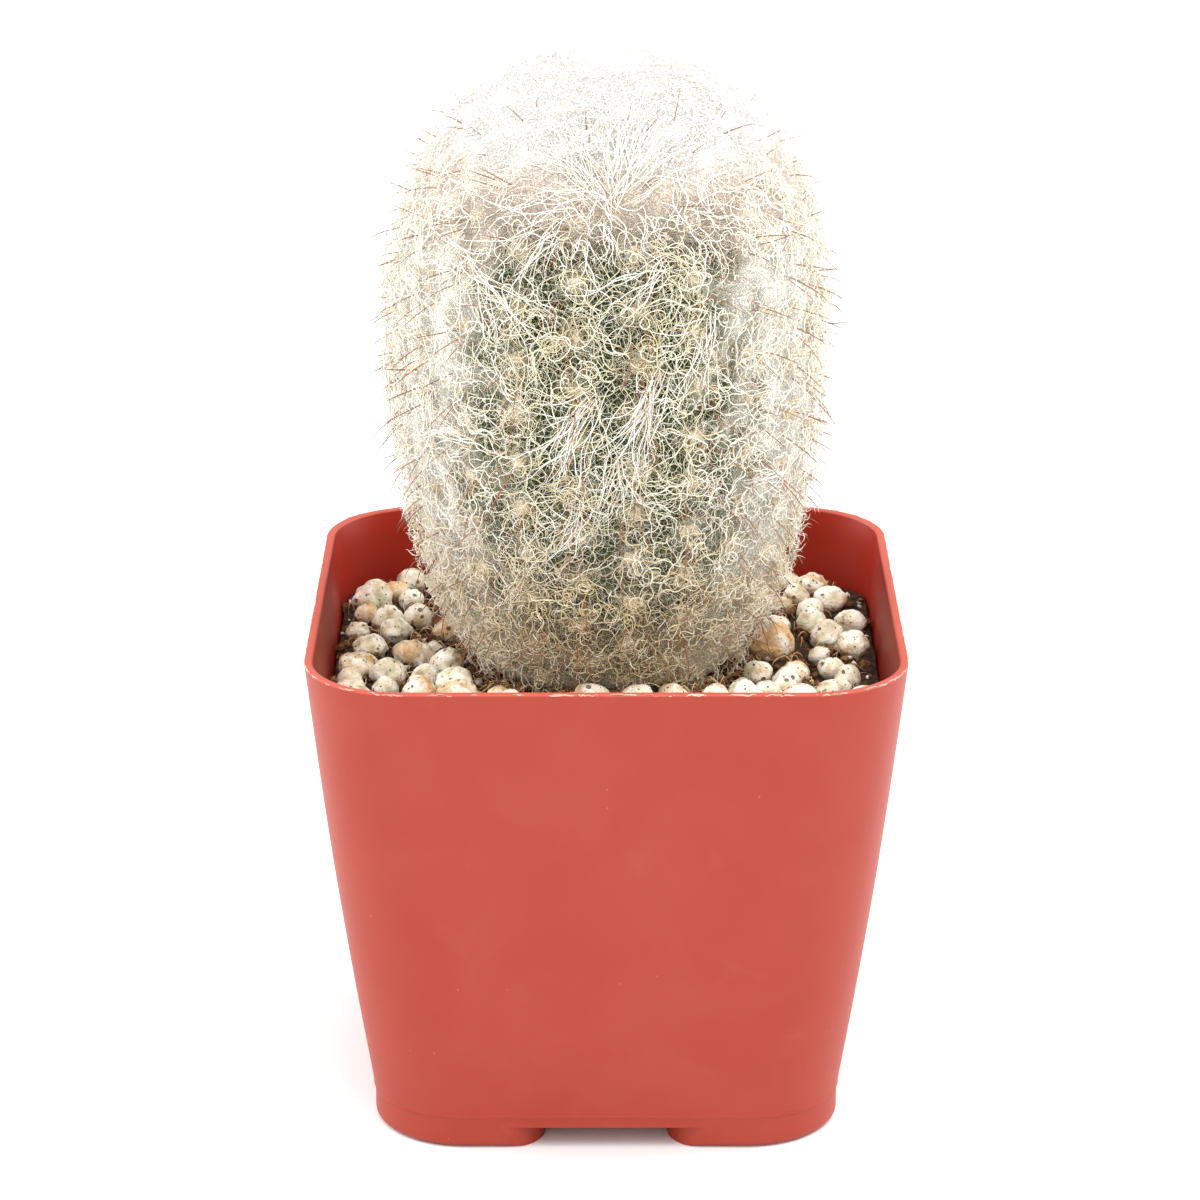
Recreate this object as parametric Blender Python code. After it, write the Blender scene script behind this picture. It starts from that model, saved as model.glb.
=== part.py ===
# A young old lady cactus in a square plastic nursery pot, in soil topped with pebbles.
# Units are metres, +Z is up, and the origin is at the middle of the pot's feet.

import math
import random

import bmesh
import bpy
import numpy as np
from mathutils import Matrix, Vector, noise

MM = 0.001
COLLECTION = "potted_cactus"
GAP = 0.3 * MM

# The pot: a tapered shell with rounded corners on four feet
RIM_WIDTH = 63.5 * MM
BAND_WIDTH = 50.6 * MM
POT_HEIGHT = 54.6 * MM
WALL = 0.9 * MM
FLOOR = 1.0 * MM
RIM_CORNER = 10.8 * MM
BASE_CORNER = 10.0 * MM
WALL_BOW = 0.35 * MM
WALL_LEVELS = 4
CORNER_STEPS = 8
BAND_HEIGHT = 3.8 * MM
BAND_STEP = 0.1 * MM
BOTTOM_ROUND = 1.0 * MM
BOTTOM_STEPS = 3
RIM_ROUND = 0.2 * MM

# The channel that crosses under the floor and parts the feet, and the drain holes in it
CHANNEL_WIDTH = 13.3 * MM
CHANNEL_HEIGHT = 2.5 * MM
FOOT_END_ROUND = 4.6 * MM
FOOT_END_STEPS = 5
DRAIN_RADIUS = 3.0 * MM
DRAIN_SPREAD = 15.0 * MM
DRAIN_SIDES = 20
DRAIN_CUT = 4.0 * MM

# The soil: lumpy, a little higher round the stem and banked up towards the front
SOIL_HEIGHT = 46.4 * MM
SOIL_MOUND = 1.0 * MM
SOIL_MOUND_RADIUS = 30.0 * MM
SOIL_BANK = 1.4 * MM
SOIL_BANK_FROM = 7.0 * MM
SOIL_BANK_TO = 20.0 * MM
SOIL_LUMP = 0.5 * MM
SOIL_LUMP_SIZE = 5.0 * MM
SOIL_CELLS = 12

# The cactus body, whose ribs stand out from a turned profile
STEM_FOOT_HEIGHT = 31.0 * MM
STEM_FOOT_RADIUS = 5.0 * MM
HOLE_TOP = 49.5 * MM
HOLE_LEVELS = 8
NECK_HEIGHT = 46.4 * MM
NECK_RADIUS = 11.7 * MM
WIDEST_HEIGHT = 84.0 * MM
WIDEST_RADIUS = 19.9 * MM
BODY_TOP = 110.0 * MM
SHOULDER_POWER = 2.3
NECK_POWER = 0.92
RIBS = 22
RIB_DEPTH = 1.2 * MM

# Rows of the body: an areole stands on every second row of a rib, and the next rib has the others
ROW_PITCH = 2.6 * MM
FIRST_HAIR_HEIGHT = 48.4 * MM
STEM_ROWS = 4
AREOLE_RISE = 0.4 * MM
HALF_COLUMNS_WITHIN = 8.5 * MM
QUARTER_COLUMNS_WITHIN = 4.2 * MM

# Woolly locks and central spines; the locks and their lean grow from the neck over a few rows
NECK_ROWS = 4
WOOL_DEPTH = 4.3 * MM
NECK_WOOL_DEPTH = 2.6 * MM
CROWN_WOOL_DEPTH = 5.6 * MM
LOCK_SHORTEST = 0.68
LOCK_SWAY = 0.8 * MM
COMB_LEAN = 1.25
COMB_SIZE = 9.0 * MM
SPINE_ROOT = 0.25 * MM
SPINE_PAST_WOOL = (0.8 * MM, 3.6 * MM)
SHORT_SPINE_SHARE = 0.35
SPINE_SWAY = 0.9 * MM
NOISE_SEED = 11
UNEVEN_SIZE = 1.1 * MM
UNEVEN_SHIFT = Vector((17.0, 5.0, 31.0))

# Pebbles: the ones that show most have their own places, and a rule fills in the rest
PEBBLE_SEED = 5
PEBBLE_TRIES = 900
PEBBLE_RADIUS = (1.3 * MM, 2.2 * MM)
PEBBLE_SPACING = 1.02
PEBBLE_CLEAR_OF_STEM = 15.4 * MM
PEBBLE_SINK = 0.24
FINE_PEBBLE_RADIUS = 1.55 * MM
PEBBLE_LUMP = 0.22
PEBBLE_HALF_HEIGHT = (0.62, 0.85)
PEBBLE_LENGTH = (0.95, 1.2)
PEBBLE_TILT = 0.3
PEBBLE_ROOM = 1.1
NOISE_REACH = 50.0
# Place to the right and to the back of the stem, and radius, all in millimetres
PLACED_PEBBLES = (
    (-22.5, 26.0, 1.6), (-26.5, 19.0, 2.2), (-22.2, 19.6, 1.5), (-24.5, 12.6, 1.9),
    (-21.0, 12.5, 1.7), (-27.8, 9.5, 1.3), (-26.0, 3.6, 1.9), (-27.2, -3.6, 2.0),
    (-21.2, 0.6, 2.1), (-19.0, 3.0, 1.3), (-17.3, -3.6, 1.9), (-23.7, -5.8, 1.8),
    (-23.7, -11.0, 1.4), (-11.5, -14.0, 1.2), (-1.6, -17.2, 1.9), (21.2, 26.5, 1.3),
    (21.7, 21.0, 1.5), (19.8, 18.0, 1.4), (25.5, 18.8, 1.8), (27.5, 11.6, 1.7),
    (23.1, 10.6, 1.7), (19.2, 10.5, 1.5), (18.4, 2.3, 2.4), (27.3, 3.2, 1.9),
    (23.5, 0.9, 1.2), (24.5, -3.9, 1.5), (20.7, -5.2, 1.5), (19.4, -8.1, 1.6),
    (25.3, -9.6, 1.2), (14.6, -10.7, 1.4), (11.7, -13.7, 1.4), (7.2, -15.5, 1.6),
)

# Finer steps of the body's profile than its rows, for lookups along it
STEM_STEPS = 30
SIDE_STEPS = 200
SHOULDER_STEPS = 300
SMALL_STEP = 0.5 * MM
WELD = 0.01 * MM
ROUND_ROWS = 3

POT_EDGE_ANGLE = 35
SOIL_EDGE_ANGLE = 50
POT_COLOUR = (0.55, 0.085, 0.05)
SOIL_COLOUR = (0.045, 0.028, 0.018)
PEBBLE_COLOUR = (0.56, 0.50, 0.40)
SKIN_COLOUR = (0.07, 0.11, 0.05)
WOOL_COLOUR = (0.80, 0.76, 0.66)
SPINE_COLOUR = (0.42, 0.13, 0.05)


def clear_scene():
    for obj in list(bpy.data.objects):
        bpy.data.objects.remove(obj, do_unlink=True)


def new_collection(name):
    collection = bpy.data.collections.new(name)
    bpy.context.scene.collection.children.link(collection)
    return collection


def new_material(name, colour, roughness):
    material = bpy.data.materials.new(name)
    material.use_nodes = True
    shader = material.node_tree.nodes["Principled BSDF"]
    shader.inputs["Base Color"].default_value = (*colour, 1.0)
    shader.inputs["Roughness"].default_value = roughness
    shader.inputs["Metallic"].default_value = 0.0
    material.diffuse_color = (*colour, 1.0)
    return material


def object_from(bm, name, collection, material=None):
    bmesh.ops.recalc_face_normals(bm, faces=bm.faces[:])
    mesh = bpy.data.meshes.new(name)
    bm.to_mesh(mesh)
    bm.free()
    obj = bpy.data.objects.new(name, mesh)
    collection.objects.link(obj)
    if material:
        mesh.materials.append(material)
    return obj


def as_cutter(obj):
    obj.hide_render = True
    obj.display_type = "WIRE"
    return obj


def add_boolean(obj, operation, cutter):
    modifier = obj.modifiers.new(cutter.name, "BOOLEAN")
    modifier.operation = operation
    modifier.object = cutter
    return modifier


def shade_round(obj, angle):
    obj.data.shade_smooth()
    obj.data.set_sharp_from_angle(angle=math.radians(angle))


def extruded(bm, face):
    """Extrude one face of a closed mesh and return its copy."""
    made = bmesh.ops.extrude_face_region(bm, geom=[face, *face.edges, *face.verts])
    return next(item for item in made["geom"] if isinstance(item, bmesh.types.BMFace))


def rounded_square(half, radius):
    """Points round a square with rounded corners, anticlockwise."""
    points = []
    for corner in range(4):
        turn = Matrix.Rotation(corner * math.pi / 2, 2)
        centre = Vector((half - radius, half - radius))
        for step in range(CORNER_STEPS + 1):
            angle = math.pi / 2 * step / CORNER_STEPS
            points.append(turn @ (centre + radius * Vector((math.cos(angle), math.sin(angle)))))
    return points


def square_block(levels):
    """Closed block through rounded squares, each a height, a half width and a corner radius."""
    bm = bmesh.new()
    height, half, radius = levels[0]
    face = bm.faces.new([bm.verts.new((*point, height)) for point in rounded_square(half, radius)])
    for height, half, radius in levels[1:]:
        face = extruded(bm, face)
        for vert, point in zip(face.verts, rounded_square(half, radius)):
            vert.co = (*point, height)
    return bm


def cross_block(half_width, end_round, low, high):
    """Plus-shaped block whose arms widen by an arc where they come out under the pot's wall."""
    reach = BAND_WIDTH / 2
    past = reach + WALL
    arc_centre = Vector((half_width + end_round, reach - end_round))
    side = [Vector((half_width, half_width))]
    for step in range(FOOT_END_STEPS + 1):
        angle = math.pi - math.pi / 2 * step / FOOT_END_STEPS
        side.append(arc_centre + end_round * Vector((math.cos(angle), math.sin(angle))))
    side.append(Vector((half_width + end_round, past)))
    arm = side + [Vector((-point.x, point.y)) for point in reversed(side[1:])]
    bm = bmesh.new()
    outline = []
    for quarter in range(4):
        turn = Matrix.Rotation(quarter * math.pi / 2, 2)
        outline += [bm.verts.new((*(turn @ point), low)) for point in arm]
    face = extruded(bm, bm.faces.new(outline))
    bmesh.ops.translate(bm, verts=face.verts[:], vec=(0, 0, high - low))
    return bm


def wall_half_width(z):
    """Half width of the pot outside, from the foot band to the rim, with walls that bow out a little."""
    foot = BAND_WIDTH / 2 + BAND_STEP
    along = (z - BAND_HEIGHT) / (POT_HEIGHT - BAND_HEIGHT)
    return foot + (RIM_WIDTH / 2 - foot) * along + WALL_BOW * math.sin(math.pi * min(1.0, along))


def corner_radius(z):
    return BASE_CORNER + (RIM_CORNER - BASE_CORNER) * z / POT_HEIGHT


def wall_levels(low, high, inset):
    """Even levels of the bowed wall between two heights, drawn in by an inset."""
    heights = [low + (high - low) * step / WALL_LEVELS for step in range(WALL_LEVELS + 1)]
    return [(z, wall_half_width(z) - inset, corner_radius(z) - inset) for z in heights]


def pot_outside_levels():
    levels = []
    for step in range(BOTTOM_STEPS + 1):
        angle = math.pi / 2 * step / BOTTOM_STEPS
        set_in = BOTTOM_ROUND * (1 - math.sin(angle))
        height = BOTTOM_ROUND * (1 - math.cos(angle))
        levels.append((height, BAND_WIDTH / 2 - set_in, BASE_CORNER - set_in))
    levels.append((BAND_HEIGHT, BAND_WIDTH / 2, corner_radius(BAND_HEIGHT)))
    step_top = BAND_HEIGHT + BAND_STEP
    shoulder = POT_HEIGHT - RIM_ROUND
    levels += wall_levels(step_top, shoulder, 0.0)
    levels.append((POT_HEIGHT, RIM_WIDTH / 2 - RIM_ROUND, RIM_CORNER - RIM_ROUND))
    return levels


def pot_inside_levels(inset, top):
    """Levels of the pot's hollow, drawn in by a gap, from its floor to a height."""
    floor = FLOOR + inset
    band = BAND_WIDTH / 2 - WALL - inset
    corner = BASE_CORNER - WALL - inset
    levels = [
        (floor, band - BOTTOM_ROUND, corner - BOTTOM_ROUND),
        (floor + BOTTOM_ROUND, band, corner),
    ]
    return levels + wall_levels(BAND_HEIGHT, top, WALL + inset)


def make_pot(parts, cutters, material):
    pot = object_from(square_block(pot_outside_levels()), "pot", parts, material)
    hollow = object_from(square_block(pot_inside_levels(0.0, POT_HEIGHT + WALL)), "pot_hollow", cutters)
    raised_floor = object_from(
        cross_block(CHANNEL_WIDTH / 2 + FLOOR, FOOT_END_ROUND - FLOOR, -FLOOR, CHANNEL_HEIGHT + FLOOR),
        "raised_floor", cutters)
    channel = object_from(
        cross_block(CHANNEL_WIDTH / 2, FOOT_END_ROUND, -FLOOR, CHANNEL_HEIGHT), "channel", cutters)
    add_boolean(hollow, "DIFFERENCE", as_cutter(raised_floor))
    add_boolean(pot, "DIFFERENCE", as_cutter(hollow))
    add_boolean(pot, "DIFFERENCE", as_cutter(channel))
    bm = bmesh.new()
    places = [Vector((0, 0, CHANNEL_HEIGHT))]
    places += [Matrix.Rotation(k * math.pi / 2, 3, "Z") @ Vector((DRAIN_SPREAD, 0, CHANNEL_HEIGHT))
               for k in range(4)]
    for place in places:
        bmesh.ops.create_cone(
            bm, cap_ends=True, segments=DRAIN_SIDES, radius1=DRAIN_RADIUS, radius2=DRAIN_RADIUS,
            depth=DRAIN_CUT, matrix=Matrix.Translation(place))
    drains = object_from(bm, "drain_holes", cutters)
    add_boolean(pot, "DIFFERENCE", as_cutter(drains))
    shade_round(pot, POT_EDGE_ANGLE)
    return pot


def smooth_step(low, high, value):
    along = min(1.0, max(0.0, (value - low) / (high - low)))
    return along * along * (3 - 2 * along)


def soil_surface(x, y):
    """Height of the soil: a low mound round the stem, a bank at the front and lumps from smooth noise."""
    mound = SOIL_MOUND * max(0.0, 1 - math.hypot(x, y) / SOIL_MOUND_RADIUS)
    bank = SOIL_BANK * smooth_step(SOIL_BANK_FROM, SOIL_BANK_TO, -y)
    place = Vector((x, y, 0)) / SOIL_LUMP_SIZE
    return SOIL_HEIGHT + mound + bank + SOIL_LUMP * noise.noise(place)


def body_profile():
    """Radii and heights of the turned body at close steps, from the stem's foot to the top."""
    stem_z = np.linspace(STEM_FOOT_HEIGHT, NECK_HEIGHT, STEM_STEPS)
    along = (stem_z - STEM_FOOT_HEIGHT) / (NECK_HEIGHT - STEM_FOOT_HEIGHT)
    stem_r = STEM_FOOT_RADIUS + (NECK_RADIUS - STEM_FOOT_RADIUS) * np.sin(along * math.pi / 2)
    side_z = np.linspace(NECK_HEIGHT, WIDEST_HEIGHT, SIDE_STEPS)[1:]
    along = (side_z - NECK_HEIGHT) / (WIDEST_HEIGHT - NECK_HEIGHT)
    side_r = NECK_RADIUS + (WIDEST_RADIUS - NECK_RADIUS) * np.sin(along * math.pi / 2) ** NECK_POWER
    angle = np.linspace(0, math.pi / 2, SHOULDER_STEPS)[1:]
    power = 2 / SHOULDER_POWER
    top_r = WIDEST_RADIUS * np.clip(np.cos(angle), 0, 1) ** power
    top_z = WIDEST_HEIGHT + (BODY_TOP - WIDEST_HEIGHT) * np.sin(angle) ** power
    top_r[-1] = 0.0
    return np.concatenate((stem_r, side_r, top_r)), np.concatenate((stem_z, side_z, top_z))


class Body:
    """The turned body by its length along the profile, which starts at the stem's foot."""

    def __init__(self):
        self.radii, self.heights = body_profile()
        steps = np.hypot(np.diff(self.radii), np.diff(self.heights))
        self.lengths = np.concatenate(([0.0], np.cumsum(steps)))

    def at_height(self, z):
        return float(np.interp(z, self.heights, self.lengths))

    def radius(self, length):
        return float(np.interp(length, self.lengths, self.radii))

    def height(self, length):
        return float(np.interp(length, self.lengths, self.heights))

    def nearest(self, point):
        out = math.hypot(point.x, point.y)
        return float(self.lengths[np.argmin(np.hypot(self.radii - out, self.heights - point.z))])

    def normal(self, point):
        """Outward direction of the turned body at the place nearest to a point."""
        length = self.nearest(point)
        rise = self.height(length + SMALL_STEP) - self.height(length - SMALL_STEP)
        spread = self.radius(length + SMALL_STEP) - self.radius(length - SMALL_STEP)
        out = Vector((point.x, point.y, 0))
        if out.length < SMALL_STEP:
            return Vector((0, 0, 1))
        return (out.normalized() * rise + Vector((0, 0, -spread))).normalized()


def wool_depth(z):
    """Depth of the wool, thin at the neck and thickest on the crown."""
    from_neck = smooth_step(FIRST_HAIR_HEIGHT, FIRST_HAIR_HEIGHT + NECK_ROWS * ROW_PITCH, z)
    to_crown = smooth_step(WIDEST_HEIGHT, BODY_TOP, z)
    side = NECK_WOOL_DEPTH + (WOOL_DEPTH - NECK_WOOL_DEPTH) * from_neck
    return side + (CROWN_WOOL_DEPTH - WOOL_DEPTH) * to_crown


def spine_share(z):
    """Share of its full length that a spine stands out of the wool: short at the neck and crown."""
    from_neck = smooth_step(FIRST_HAIR_HEIGHT, FIRST_HAIR_HEIGHT + NECK_ROWS * ROW_PITCH, z)
    to_crown = smooth_step(WIDEST_HEIGHT, BODY_TOP, z)
    return SHORT_SPINE_SHARE + (1 - SHORT_SPINE_SHARE) * min(from_neck, 1 - to_crown)


def combed(point, normal):
    """Direction of the wool at a point: outward, and leaned over by a slow, smooth noise."""
    above_neck = smooth_step(FIRST_HAIR_HEIGHT, FIRST_HAIR_HEIGHT + NECK_ROWS * ROW_PITCH, point.z)
    lean = COMB_LEAN * above_neck * noise.noise_vector(point / COMB_SIZE)
    return normal + lean - lean.dot(normal) * normal


def uneven(point, low, high):
    """A value between two limits that changes quickly from place to place."""
    along = 0.5 + noise.noise(UNEVEN_SHIFT + point / UNEVEN_SIZE)
    return low + (high - low) * min(1.0, max(0.0, along))


def sway(point, normal, most):
    """A shift along the surface that changes quickly from place to place."""
    shift = 2 * most * noise.noise_vector(point / UNEVEN_SIZE)
    return shift - shift.dot(normal) * normal


def row_lengths(body):
    """Lengths along the profile of the body's rows: the stem's, then even ones up to the top."""
    first_hair = body.at_height(FIRST_HAIR_HEIGHT)
    stem = [first_hair * row / STEM_ROWS for row in range(STEM_ROWS)]
    last = body.lengths[-1]
    count = round((last - first_hair) / ROW_PITCH)
    return stem + [first_hair + (last - first_hair) * row / count for row in range(count + 1)]


def column_step(radius):
    """Every column on the side, and every second or fourth one where they crowd at the crown."""
    if radius < QUARTER_COLUMNS_WITHIN:
        return 4
    return 2 if radius < HALF_COLUMNS_WITHIN else 1


def body_vertex(body, lengths, row, column):
    """Place of a vertex of the body's cage, and whether an areole stands on it."""
    radius = body.radius(lengths[row])
    hairy = row - STEM_ROWS
    if hairy > 0:
        column -= column % column_step(radius)
    turn = 2 * math.pi * (column % (2 * RIBS)) / (2 * RIBS)
    groove = RIB_DEPTH * (column % 2) * smooth_step(0, ROUND_ROWS, hairy)
    place = Vector(((radius - groove) * math.cos(turn), (radius - groove) * math.sin(turn),
                    body.height(lengths[row])))
    areole = column % 2 == 0 and hairy > 0 and (hairy + column // 2) % 2 == 0 and radius > 0
    if areole:
        place += AREOLE_RISE * body.normal(place)
    return place, areole


def make_cactus(parts, skin, wool, spine):
    body = Body()
    lengths = row_lengths(body)
    rows = len(lengths) - 1
    columns = 2 * RIBS
    bm = bmesh.new()
    mark = bm.verts.layers.int.new("areole")
    bmesh.ops.create_grid(bm, x_segments=columns, y_segments=rows, size=1)
    for vert in bm.verts:
        column = round((vert.co.x + 1) / 2 * columns)
        row = round((vert.co.y + 1) / 2 * rows)
        vert.co, vert[mark] = body_vertex(body, lengths, row, column)
    bmesh.ops.remove_doubles(bm, verts=bm.verts[:], dist=WELD)
    bmesh.ops.holes_fill(bm, edges=[edge for edge in bm.edges if edge.is_boundary], sides=0)
    bmesh.ops.recalc_face_normals(bm, faces=bm.faces[:])

    areoles = [vert for vert in bm.verts if vert[mark]]
    roots = bmesh.ops.bevel(
        bm, geom=areoles, offset=SPINE_ROOT, offset_type="OFFSET", segments=1, profile=0.5,
        affect="VERTICES")["faces"]
    bm.verts.layers.int.remove(mark)
    for face in bm.faces:
        face.material_index = 1 if face.calc_center_median().z > FIRST_HAIR_HEIGHT else 0
    for face in roots:
        face.material_index = 2
    locks = [face for face in bm.faces if face.material_index == 1]

    tufts = bmesh.ops.poke(bm, faces=locks, center_mode="MEAN")["verts"]
    for vert in tufts:
        normal = body.normal(vert.co)
        tall = wool_depth(vert.co.z) * uneven(vert.co, LOCK_SHORTEST, 1.0)
        vert.co += tall * combed(vert.co, normal) + sway(vert.co, normal, LOCK_SWAY)
    tips = bmesh.ops.poke(bm, faces=roots, center_mode="MEAN")["verts"]
    for vert in tips:
        normal = body.normal(vert.co)
        tall = wool_depth(vert.co.z) + spine_share(vert.co.z) * uneven(vert.co, *SPINE_PAST_WOOL)
        vert.co += tall * combed(vert.co, normal) + sway(vert.co, normal, SPINE_SWAY)

    cactus = object_from(bm, "cactus", parts)
    for material in (skin, wool, spine):
        cactus.data.materials.append(material)
    return cactus


def stem_hole(cutters):
    """A plain turned hole for the stem, wider than it by the gap."""
    body = Body()
    rise = (HOLE_TOP - STEM_FOOT_HEIGHT) / HOLE_LEVELS
    levels = [STEM_FOOT_HEIGHT + rise * step for step in range(HOLE_LEVELS + 1)]
    bm = bmesh.new()
    bottom = STEM_FOOT_RADIUS + GAP
    foot = Matrix.Translation((0, 0, STEM_FOOT_HEIGHT - GAP))
    bmesh.ops.create_circle(bm, cap_ends=True, segments=2 * RIBS, radius=bottom, matrix=foot)
    bm.faces.ensure_lookup_table()
    face = bm.faces[0]
    for z in levels:
        face = extruded(bm, face)
        width = body.radius(body.at_height(z)) + GAP
        for vert in face.verts:
            vert.co = width * vert.co.xy.normalized().to_3d()
            vert.co.z = z
    return object_from(bm, "stem_hole", cutters)


def pebble_places():
    """Places and radii of all pebbles: the placed ones, then seeded ones wherever there is room."""
    rng = random.Random(PEBBLE_SEED)
    placed = [(x * MM, y * MM, radius * MM) for x, y, radius in PLACED_PEBBLES]
    wall = wall_half_width(SOIL_HEIGHT) - WALL - 2 * GAP
    corner = corner_radius(SOIL_HEIGHT)
    for _ in range(PEBBLE_TRIES):
        radius = rng.uniform(*PEBBLE_RADIUS)
        room = wall - PEBBLE_ROOM * radius
        x = rng.uniform(-room, room)
        y = rng.uniform(-room, room)
        beyond = math.hypot(max(0.0, abs(x) - wall + corner), max(0.0, abs(y) - wall + corner))
        if beyond > corner - PEBBLE_ROOM * radius or math.hypot(x, y) < PEBBLE_CLEAR_OF_STEM + radius:
            continue
        if all(math.hypot(x - px, y - py) > PEBBLE_SPACING * (radius + pr) for px, py, pr in placed):
            placed.append((x, y, radius))
    return placed


def make_pebble(name, collection, material, rng, x, y, radius, subdivisions):
    bm = bmesh.new()
    bmesh.ops.create_icosphere(bm, subdivisions=subdivisions, radius=1)
    shift = Vector([rng.uniform(0, NOISE_REACH) for _ in range(3)])
    for vert in bm.verts:
        vert.co *= 1 + PEBBLE_LUMP * noise.noise(vert.co + shift)
    half_height = radius * rng.uniform(*PEBBLE_HALF_HEIGHT)
    size = Matrix.Diagonal((radius * rng.uniform(*PEBBLE_LENGTH), radius, half_height, 1))
    tilt = Matrix.Rotation(rng.uniform(-PEBBLE_TILT, PEBBLE_TILT), 4, "X")
    turn = Matrix.Rotation(rng.uniform(0, 2 * math.pi), 4, "Z") @ tilt
    rise = soil_surface(x, y) + half_height * (1 - 2 * PEBBLE_SINK)
    bmesh.ops.transform(bm, matrix=Matrix.Translation((x, y, rise)) @ turn @ size, verts=bm.verts[:])
    return object_from(bm, name, collection, material)


def make_soil(parts, cutters, soil_material, pebble_material):
    bm = bmesh.new()
    bmesh.ops.create_grid(bm, x_segments=SOIL_CELLS, y_segments=SOIL_CELLS, size=RIM_WIDTH / 2)
    for vert in bm.verts:
        vert.co.z = soil_surface(vert.co.x, vert.co.y)
    top = bm.faces[:]
    edges = bm.edges[:]
    under = bmesh.ops.extrude_face_region(bm, geom=top + edges + bm.verts[:], use_keep_orig=True)["geom"]
    for item in under:
        if isinstance(item, bmesh.types.BMVert):
            item.co.z = -FLOOR
    soil = object_from(bm, "soil", parts, soil_material)

    filling = object_from(
        square_block(pot_inside_levels(GAP, POT_HEIGHT)), "pot_filling", cutters)
    raised_floor = object_from(
        cross_block(CHANNEL_WIDTH / 2 + FLOOR + GAP, FOOT_END_ROUND - FLOOR - GAP, -2 * FLOOR,
                    CHANNEL_HEIGHT + FLOOR + GAP),
        "raised_floor_and_gap", cutters)
    add_boolean(soil, "INTERSECT", as_cutter(filling))
    add_boolean(soil, "DIFFERENCE", as_cutter(raised_floor))

    loose = bpy.data.collections.new("pebbles")
    bpy.context.scene.collection.children.link(loose)
    rng = random.Random(PEBBLE_SEED)
    for count, (x, y, radius) in enumerate(pebble_places()):
        fine = 2 if count < len(PLACED_PEBBLES) and radius > FINE_PEBBLE_RADIUS else 1
        make_pebble("pebble", loose, pebble_material, rng, x, y, radius, fine)
    union = soil.modifiers.new("pebbles", "BOOLEAN")
    union.operation = "UNION"
    union.operand_type = "COLLECTION"
    union.collection = loose
    union.material_mode = "TRANSFER"
    add_boolean(soil, "DIFFERENCE", as_cutter(stem_hole(cutters)))
    bpy.context.view_layer.update()
    evaluated = soil.evaluated_get(bpy.context.evaluated_depsgraph_get())
    joined = bpy.data.meshes.new_from_object(evaluated)
    soil.modifiers.clear()
    soil.data = joined
    for pebble in list(loose.objects):
        bpy.data.objects.remove(pebble, do_unlink=True)
    bpy.data.collections.remove(loose)
    shade_round(soil, SOIL_EDGE_ANGLE)
    return soil


def main():
    clear_scene()
    noise.seed_set(NOISE_SEED)
    parts = new_collection(COLLECTION)
    cutters = new_collection("cutters")
    make_pot(parts, cutters, new_material("pot_plastic", POT_COLOUR, 0.5))
    make_soil(parts, cutters, new_material("soil", SOIL_COLOUR, 0.95),
              new_material("pebbles", PEBBLE_COLOUR, 0.85))
    make_cactus(parts, new_material("cactus_skin", SKIN_COLOUR, 0.6),
                new_material("cactus_wool", WOOL_COLOUR, 0.9),
                new_material("cactus_spines", SPINE_COLOUR, 0.5))


main()
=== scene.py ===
# Looks of a young old lady cactus, wrapped in wool, in a square plastic nursery pot of soil and pebbles.
# Units are metres, +Z is up, and the photograph's front is at -Y.

import math
import random

import bmesh
import bpy
import numpy as np
from mathutils import Matrix, Vector, noise


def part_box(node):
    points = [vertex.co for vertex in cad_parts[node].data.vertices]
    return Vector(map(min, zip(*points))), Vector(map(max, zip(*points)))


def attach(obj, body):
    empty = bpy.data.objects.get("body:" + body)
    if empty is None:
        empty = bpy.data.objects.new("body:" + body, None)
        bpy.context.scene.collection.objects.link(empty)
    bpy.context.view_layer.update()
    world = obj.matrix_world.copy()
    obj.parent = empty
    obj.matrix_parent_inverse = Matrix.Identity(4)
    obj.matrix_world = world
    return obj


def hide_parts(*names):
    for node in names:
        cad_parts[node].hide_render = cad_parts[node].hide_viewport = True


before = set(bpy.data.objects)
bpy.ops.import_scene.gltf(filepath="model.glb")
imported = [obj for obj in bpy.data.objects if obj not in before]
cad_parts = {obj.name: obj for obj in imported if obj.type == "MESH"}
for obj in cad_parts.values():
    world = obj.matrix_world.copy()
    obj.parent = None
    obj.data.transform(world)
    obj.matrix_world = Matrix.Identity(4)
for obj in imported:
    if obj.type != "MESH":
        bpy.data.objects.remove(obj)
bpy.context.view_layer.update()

MM = 0.001
BODY = "root"

# The pot, as in the solid model
POT_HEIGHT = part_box("pot")[1].z
RIM_WIDTH = 63.5 * MM
BAND_WIDTH = 50.6 * MM
WALL = 0.9 * MM
FLOOR = 1.0 * MM
GAP = 0.3 * MM
RIM_CORNER = 10.8 * MM
BASE_CORNER = 10.0 * MM
WALL_BOW = 0.35 * MM
BAND_HEIGHT = 3.8 * MM
BAND_STEP = 0.1 * MM
BOTTOM_ROUND = 1.0 * MM
RIM_ROUND = 0.2 * MM
CHANNEL_WIDTH = 13.3 * MM
CHANNEL_HEIGHT = 2.5 * MM
FOOT_END_ROUND = 4.6 * MM
DRAIN_RADIUS = 3.0 * MM
DRAIN_SPREAD = 15.0 * MM
DRAIN_SIDES = 40
DRAIN_CUT = 4.0 * MM

# Finer steps than the solid model's
CORNER_STEPS = 14
SIDE_STEPS = 24
WALL_LEVELS = 16
BOTTOM_STEPS = 5
LIP_STEPS = 3
FOOT_END_STEPS = 10
BEAD = 0.07 * MM
BEAD_HEIGHT = 0.3 * MM
WARP = 0.05 * MM
WARP_SIZE = 14.0 * MM
FLASH_COUNT = 130
FLASH_LENGTH = (0.6 * MM, 3.2 * MM)
FLASH_THICKNESS = (0.06 * MM, 0.16 * MM)
FLASH_WANDER = 0.11 * MM
FLASH_POINTS = 7
FLASH_SIDES = 4

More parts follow.
